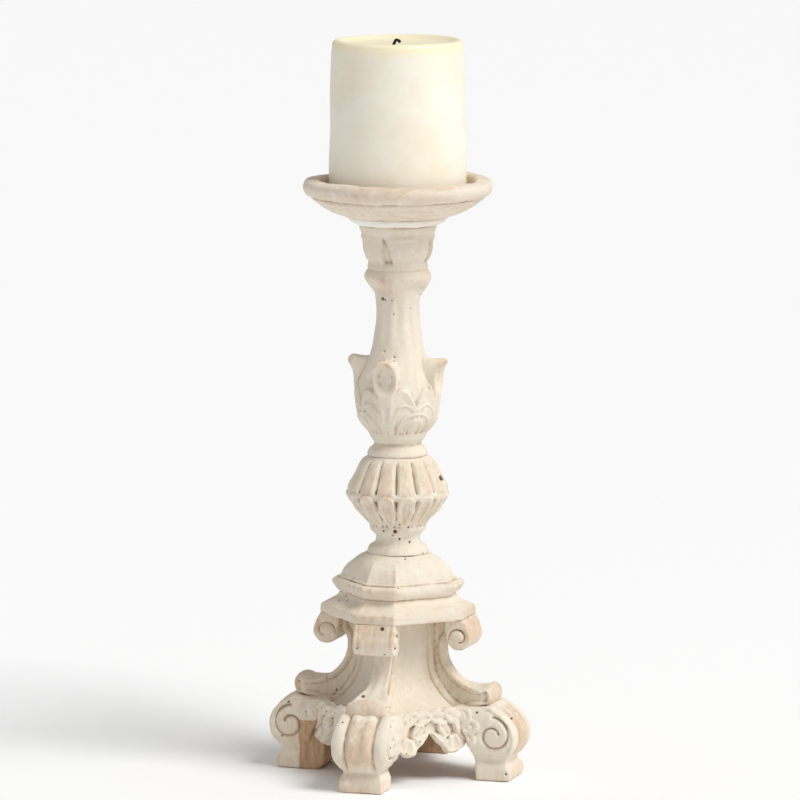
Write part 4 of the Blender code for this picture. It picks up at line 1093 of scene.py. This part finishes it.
def pan_wood(x, y, z):
    r = np.hypot(x, y)
    turn = np.arctan2(y, x)
    warp = 0.35 * np.sin(2 * turn + 0.6) + 0.2 * np.sin(5 * turn + 2.0) + 0.12 * np.sin(11 * turn)
    reach = 0.3 * np.sin(2 * turn + 2.2) + 0.15 * np.sin(7 * turn)
    edge = ease(r, 38, 46) * ease(z, 316, 322)
    scored = 1.0 * bump(z, 320.9 + 0.5 * np.sin(turn + 0.8), 0.95) * ease(r, 44, 46)
    chipped = ease(np.sin(9 * turn + 1.0) * np.sin(4 * turn), 0.55, 0.9)
    chips = 0.5 * chipped * ease(z, 328.4, 329.6) * ease(r, 48, 50)
    return pan_section(r - reach * edge, z - warp * edge) + scored + chips


def pan_worn(x, y, z):
    turn = np.arctan2(y, x)
    return 0.3 + 0.3 * np.sin(3 * turn + 1.2) * ease(z, 322, 326) + 0.2 * ease(z, 328, 329.6)


pan_mesh = carved("turned_pan", (-53, -53, 308.5), (53, 53, 331.5), pan_wood, seed=85, cell=0.6,
                  uneven=0.16, worn=pan_worn,
                  bare=lambda x, y, z: 0.5 * ease(-np.hypot(x, y), -41.6, -40.6) * ease(z, 321, 321.6))
pan_finish = painted_wood("whitewashed_pan_wood", grain=(0.1, 1, 1), wear=0.36, hollow_shade=0.6,
                          paint=(230, 219, 202), wood=(218, 190, 165))
fit("turned_pan", pan_mesh, pan_finish, "candlestick", "whitewashed_wood", "drip_pan")


# ---- Dowels, screw and washer ---------------------------------------------------------------------
# Hidden fixings: a wooden dowel up the middle, one in each foot, and the long screw with its washer
# that shows in the counterbore underneath. They keep their plain shapes and get a finish.


def raw_timber(name):
    """Planed wood that was never painted, with long grain."""
    material, tree, shader = new_material(name)
    place = node(tree, "ShaderNodeTexCoord", (-6, 0)).outputs["Object"]
    grain = noise(tree, (-5, 0), place, 700, 4, 0.6, stretch=(1, 1, 0.08))
    colour = mixed(tree, (-2, 0), grain, linear(150, 108, 72), linear(196, 152, 110))
    relief = node(tree, "ShaderNodeBump", (-2, 2), {"Height": grain},
                  inputs={"Strength": 0.3, "Distance": 0.0003})
    tree.links.new(colour, shader.inputs["Base Color"])
    tree.links.new(relief.outputs[0], shader.inputs["Normal"])
    shader.inputs["Roughness"].default_value = 0.75
    return material


def tarnished_steel(name):
    """Plain steel, dulled and a little stained."""
    material, tree, shader = new_material(name)
    place = node(tree, "ShaderNodeTexCoord", (-6, 0)).outputs["Object"]
    stain = noise(tree, (-5, 0), place, 260, 4, 0.6)
    fine = noise(tree, (-5, 1), place, 2400, 2, 0.5, offset=4.0)
    colour = mixed(tree, (-2, 0), ramped(tree, (-3, 0), stain, 0.45, 0.7), linear(150, 147, 141),
                   linear(112, 96, 80))
    tree.links.new(colour, shader.inputs["Base Color"])
    tree.links.new(ramped(tree, (-3, 1), stain, 0.35, 0.75, 0.32, 0.62), shader.inputs["Roughness"])
    relief = node(tree, "ShaderNodeBump", (-2, 2), {"Height": fine},
                  inputs={"Strength": 0.12, "Distance": 0.0001})
    tree.links.new(relief.outputs[0], shader.inputs["Normal"])
    shader.inputs["Metallic"].default_value = 1.0
    return material


def refinish(name, material):
    """A plain piece that stays as it is gets its finish."""
    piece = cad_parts[name]
    piece.data.materials.clear()
    piece.data.materials.append(material)


timber, steel = raw_timber("raw_dowel_wood"), tarnished_steel("tarnished_steel")
for name in ("stem_dowel", "foot_dowel_front_right", "foot_dowel_back_right", "foot_dowel_back_left",
             "foot_dowel_front_left"):
    refinish(name, timber)
for name in ("base_screw", "base_washer"):
    refinish(name, steel)


# ---- Pricket --------------------------------------------------------------------------------------
# A forged spike with a round flange let into the pan's floor. It screws down into the column.


def capped(name, points, steps):
    """A closed mesh from rings of points, followed by the middles of the first and the last cap."""
    rows = (len(points) - 2) // steps
    i, j = np.meshgrid(np.arange(rows - 1), np.arange(steps), indexing="ij")
    near, far = i * steps + j, i * steps + (j + 1) % steps
    quads = np.stack([near, near + steps, far + steps, far], 2).reshape(-1, 4)
    j = np.arange(steps)
    last = (rows - 1) * steps
    first_cap = np.stack([np.full(steps, rows * steps), j, (j + 1) % steps], 1)
    last_cap = np.stack([np.full(steps, rows * steps + 1), last + (j + 1) % steps, last + j], 1)
    mesh = bpy.data.meshes.new(name)
    faces = [list(map(int, f)) for f in (*quads, *first_cap, *last_cap)]
    mesh.from_pydata((points * MM).tolist(), [], faces)
    mesh.update()
    mesh.shade_smooth()
    return mesh


def lathed(profile, steps):
    """Rings of points about the axis, from (radius, height) points that start and end on the axis."""
    profile = np.array(profile, float)
    angles = np.arange(steps) * 2 * math.pi / steps
    r, z = profile[1:-1, 0][:, None], profile[1:-1, 1][:, None]
    rings = np.stack([r * np.cos(angles), r * np.sin(angles), z + 0 * angles], 2).reshape(-1, 3)
    return np.vstack([rings, [[0, 0, profile[0, 1]], [0, 0, profile[-1, 1]]]])


SPIKE = [
    (0, 346.0), (0.35, 345.6), (0.8, 342.6), (1.3, 337), (1.9, 329), (2.3, 323.6), (2.9, 322.5),
    (4.2, 322.1), (8.5, 322.0), (8.9, 321.8), (9.0, 321.3), (8.8, 320.6), (8.4, 320.5), (2.6, 320.5),
    (2.0, 320.2), (2.0, 303.4), (0.6, 300.7), (0, 300.5),
]
SPIKE_STEPS = 48
spike_mesh = capped("forged_pricket", lathed(SPIKE, SPIKE_STEPS), SPIKE_STEPS)
fit("forged_pricket", spike_mesh, steel, "candlestick", "dull_steel", "pricket")


# ---- Candle ---------------------------------------------------------------------------------------
# A pillar of ivory wax, cast in a slightly tapered mould. Its top has burnt down to a shallow pool
# inside a soft rim, and a hole in its foot takes the pricket.

CANDLE_SIDE = [
    (36.4, 322.35), (37.2, 322.6), (37.65, 323.4), (37.7, 325), (37.5, 340), (37.1, 360), (36.7, 380),
    (36.3, 398), (36.15, 402), (35.9, 404.2), (35.3, 405.4), (34.4, 406.1), (33.2, 406.3), (32.0, 405.9),
    (30.6, 405.0), (29.0, 404.2), (26.5, 403.7), (20, 403.3), (10, 403.1), (4, 403.1), (1.3, 403.0),
    (1.2, 402.2), (1.2, 396),
]
side_line = flowing(CANDLE_SIDE, 4)
candle_profile = [(0, 348.4), (0.7, 347.4), (1.5, 340), (2.7, 323.2), (3.2, 322.4), (20, 322.35),
                  *side_line.tolist(), (0, 395.9)]
CANDLE_STEPS = 160
wax_points = lathed(candle_profile, CANDLE_STEPS)
wax_mesh = capped("wax_pillar", wax_points, CANDLE_STEPS)
out = np.hypot(wax_points[:, 0], wax_points[:, 1])
turn = np.arctan2(wax_points[:, 1], wax_points[:, 0])
rim = ease(out, 26, 31) * ease(wax_points[:, 2], 400, 405)
wax_points[:, 2] += rim * (0.15 * np.sin(2 * turn + 1.0) + 0.1 * np.sin(3 * turn))
sag = 0.18 * wander(wax_points, 26, 91) * ease(out, 30, 35)
wax_points[:, :2] *= (1 + sag / np.maximum(out, 1))[:, None]
move_to(wax_mesh, wax_points)


def ivory_wax():
    """Wax: faintly clouded, a little clearer and warmer round the pool, with a soft sheen."""
    material, tree, shader = new_material("ivory_wax")
    place = node(tree, "ShaderNodeTexCoord", (-7, 0)).outputs["Object"]
    cloud = noise(tree, (-6, 0), place, 30, 4, 0.6)
    speck = noise(tree, (-6, 1), place, 420, 3, 0.6, offset=2.0)
    height = node(tree, "ShaderNodeSeparateXYZ", (-6, 3), {0: place}).outputs[2]
    colour = mixed(tree, (-3, 0), ramped(tree, (-4, 0), cloud, 0.35, 0.7), linear(247, 241, 226),
                   linear(242, 233, 211))
    colour = mixed(tree, (-2, 0), ramped(tree, (-4, 1), speck, 0.58, 0.75, 0.0, 0.25), colour,
                   linear(252, 249, 240))
    warm = ramped(tree, (-4, 3), height, 0.398, 0.404, 0.0, 0.7)
    colour = mixed(tree, (-1, 0), warm, colour, linear(253, 240, 200))
    relief = node(tree, "ShaderNodeBump", (-2, 2), {"Height": speck},
                  inputs={"Strength": 0.12, "Distance": 0.0003})
    tree.links.new(colour, shader.inputs["Base Color"])
    tree.links.new(ramped(tree, (-3, 2), cloud, 0.3, 0.7, 0.38, 0.52), shader.inputs["Roughness"])
    tree.links.new(relief.outputs[0], shader.inputs["Normal"])
    shader.inputs["Subsurface Weight"].default_value = 0.25
    shader.inputs["Subsurface Radius"].default_value = (0.012, 0.008, 0.004)
    return material


fit("wax_pillar", wax_mesh, ivory_wax(), "candle", "ivory_wax", "pillar_candle")


# ---- Wick -----------------------------------------------------------------------------------------
# Braided cotton, charred and bent over where it has burnt, with a bead of ash at its end.

WICK_PATH = [(-1.6, 396.2), (-2.0, 401), (-2.1, 403.6), (-1.6, 405.2), (-0.6, 406.0), (0.4, 405.8),
             (1.0, 404.8)]


def wick_strands():
    """A round core that follows the wick's bend, twisted into three strands."""
    line = flowing(WICK_PATH, 6)
    ahead = np.gradient(line, axis=0)
    ahead /= np.linalg.norm(ahead, axis=1)[:, None]
    steps, rows = 30, len(line)
    points = []
    for k, ((x, z), (dx, dz)) in enumerate(zip(line, ahead)):
        a = np.arange(steps) * 2 * math.pi / steps
        radius = 0.78 * (1 + 0.16 * np.cos(3 * a + k * 0.55)) * (1.0 if k < rows - 3 else 1.12)
        points.append(np.stack([x - dz * radius * np.cos(a), radius * np.sin(a),
                                z + dx * radius * np.cos(a)], 1))
    ends = [[line[0][0], 0, line[0][1] - 0.2], [line[-1][0] + ahead[-1][0] * 0.5, 0,
                                                line[-1][1] + ahead[-1][1] * 0.5]]
    return capped("burnt_wick", np.vstack([*points, ends]), steps)


def charred_cotton():
    """Cream cotton where it stands in the wax, brown above, black where it has burnt."""
    material, tree, shader = new_material("charred_cotton")
    place = node(tree, "ShaderNodeTexCoord", (-7, 0)).outputs["Object"]
    height = node(tree, "ShaderNodeSeparateXYZ", (-6, 2), {0: place}).outputs[2]
    fluff = noise(tree, (-6, 0), place, 2600, 3, 0.6)
    reach = sums(tree, (-3, 1), "MULTIPLY_ADD", fluff, 0.001, height)
    colour = mixed(tree, (-2, 0), ramped(tree, (-3, 2), reach, 0.4022, 0.4036), linear(222, 200, 158),
                   linear(92, 52, 30))
    colour = mixed(tree, (-1, 0), ramped(tree, (-3, 3), reach, 0.4036, 0.4052), colour, linear(30, 20, 16))
    relief = node(tree, "ShaderNodeBump", (-2, 2), {"Height": fluff},
                  inputs={"Strength": 0.5, "Distance": 0.0002})
    tree.links.new(colour, shader.inputs["Base Color"])
    tree.links.new(relief.outputs[0], shader.inputs["Normal"])
    shader.inputs["Roughness"].default_value = 0.95
    return material


wick_mesh = wick_strands()
wick_mesh.transform(Matrix.Rotation(math.radians(-27), 4, "Z"))
fit("burnt_wick", wick_mesh, charred_cotton(), "candle", "charred_cotton", "candle_wick")


# ---- Floor, light and camera ----------------------------------------------------------------------
# White paper under the stick, even light all round, and one wide window to the right of the camera,
# which looks down a little through a long lens.

FLOOR_REACH = 6000
VIEW_AZIMUTH = -27.0
VIEW_TILT = 8.4
CAMERA_DISTANCE = 3.3
CAMERA_HEIGHT = 0.6949
SIDE_STEP = 0.0012
WINDOW_AZIMUTH = 53
WINDOW_ELEVATION = 52

floor_corners = np.array([(-1, -1, 0), (1, -1, 0), (1, 1, 0), (-1, 1, 0)], float) * FLOOR_REACH
floor_mesh = mesh_of("studio_floor", floor_corners, np.array([[0, 1, 2, 3]]))
floor = bpy.data.objects.new("studio_floor", floor_mesh)
bpy.context.scene.collection.objects.link(floor)
paper, _, shader = new_material("pale_paper")
shader.inputs["Base Color"].default_value = (0.99, 0.99, 0.99, 1)
shader.inputs["Roughness"].default_value = 0.9
floor_mesh.materials.append(paper)

world = bpy.data.worlds.new("studio")
bpy.context.scene.world = world
world.use_nodes = True
world.node_tree.nodes["Background"].inputs[0].default_value = (1, 1, 1, 1)
world.node_tree.nodes["Background"].inputs[1].default_value = 0.45
bpy.context.scene.view_settings.view_transform = "Standard"


def softbox(name, azimuth, height, distance, size, power, aim=0.2):
    """A square soft light, placed by its direction from the stick as the camera sees it, in degrees."""
    lamp = bpy.data.lights.new(name, "AREA")
    lamp.energy, lamp.size, lamp.shape = power, size, "SQUARE"
    box = bpy.data.objects.new(name, lamp)
    a = math.radians(VIEW_AZIMUTH + azimuth)
    box.location = (math.sin(a) * distance, -math.cos(a) * distance, height)
    way = np.array([0, 0, aim]) - np.array(box.location)
    yaw, pitch = math.atan2(way[1], way[0]) - math.pi / 2, math.atan2(math.hypot(way[0], way[1]), -way[2])
    box.rotation_euler = (pitch, 0, yaw)
    bpy.context.scene.collection.objects.link(box)


softbox("side_light", 70, 0.5, 1.8, 1.0, 2.5)
window = bpy.data.lights.new("window_light", "SUN")
window.energy, window.angle = 2.1, math.radians(28)
sun = bpy.data.objects.new("window_light", window)
sun.rotation_euler = (math.radians(90 - WINDOW_ELEVATION), 0, math.radians(VIEW_AZIMUTH + WINDOW_AZIMUTH))
bpy.context.scene.collection.objects.link(sun)

lens = bpy.data.cameras.new("studio_camera")
lens.lens = 272.93
lens.sensor_width = 36
camera = bpy.data.objects.new("studio_camera", lens)
a = math.radians(VIEW_AZIMUTH)
camera.location = (math.sin(a) * CAMERA_DISTANCE + math.cos(a) * SIDE_STEP,
                   -math.cos(a) * CAMERA_DISTANCE + math.sin(a) * SIDE_STEP, CAMERA_HEIGHT)
camera.rotation_euler = (math.radians(90 - VIEW_TILT), 0, a)
bpy.context.scene.collection.objects.link(camera)
bpy.context.scene.camera = camera
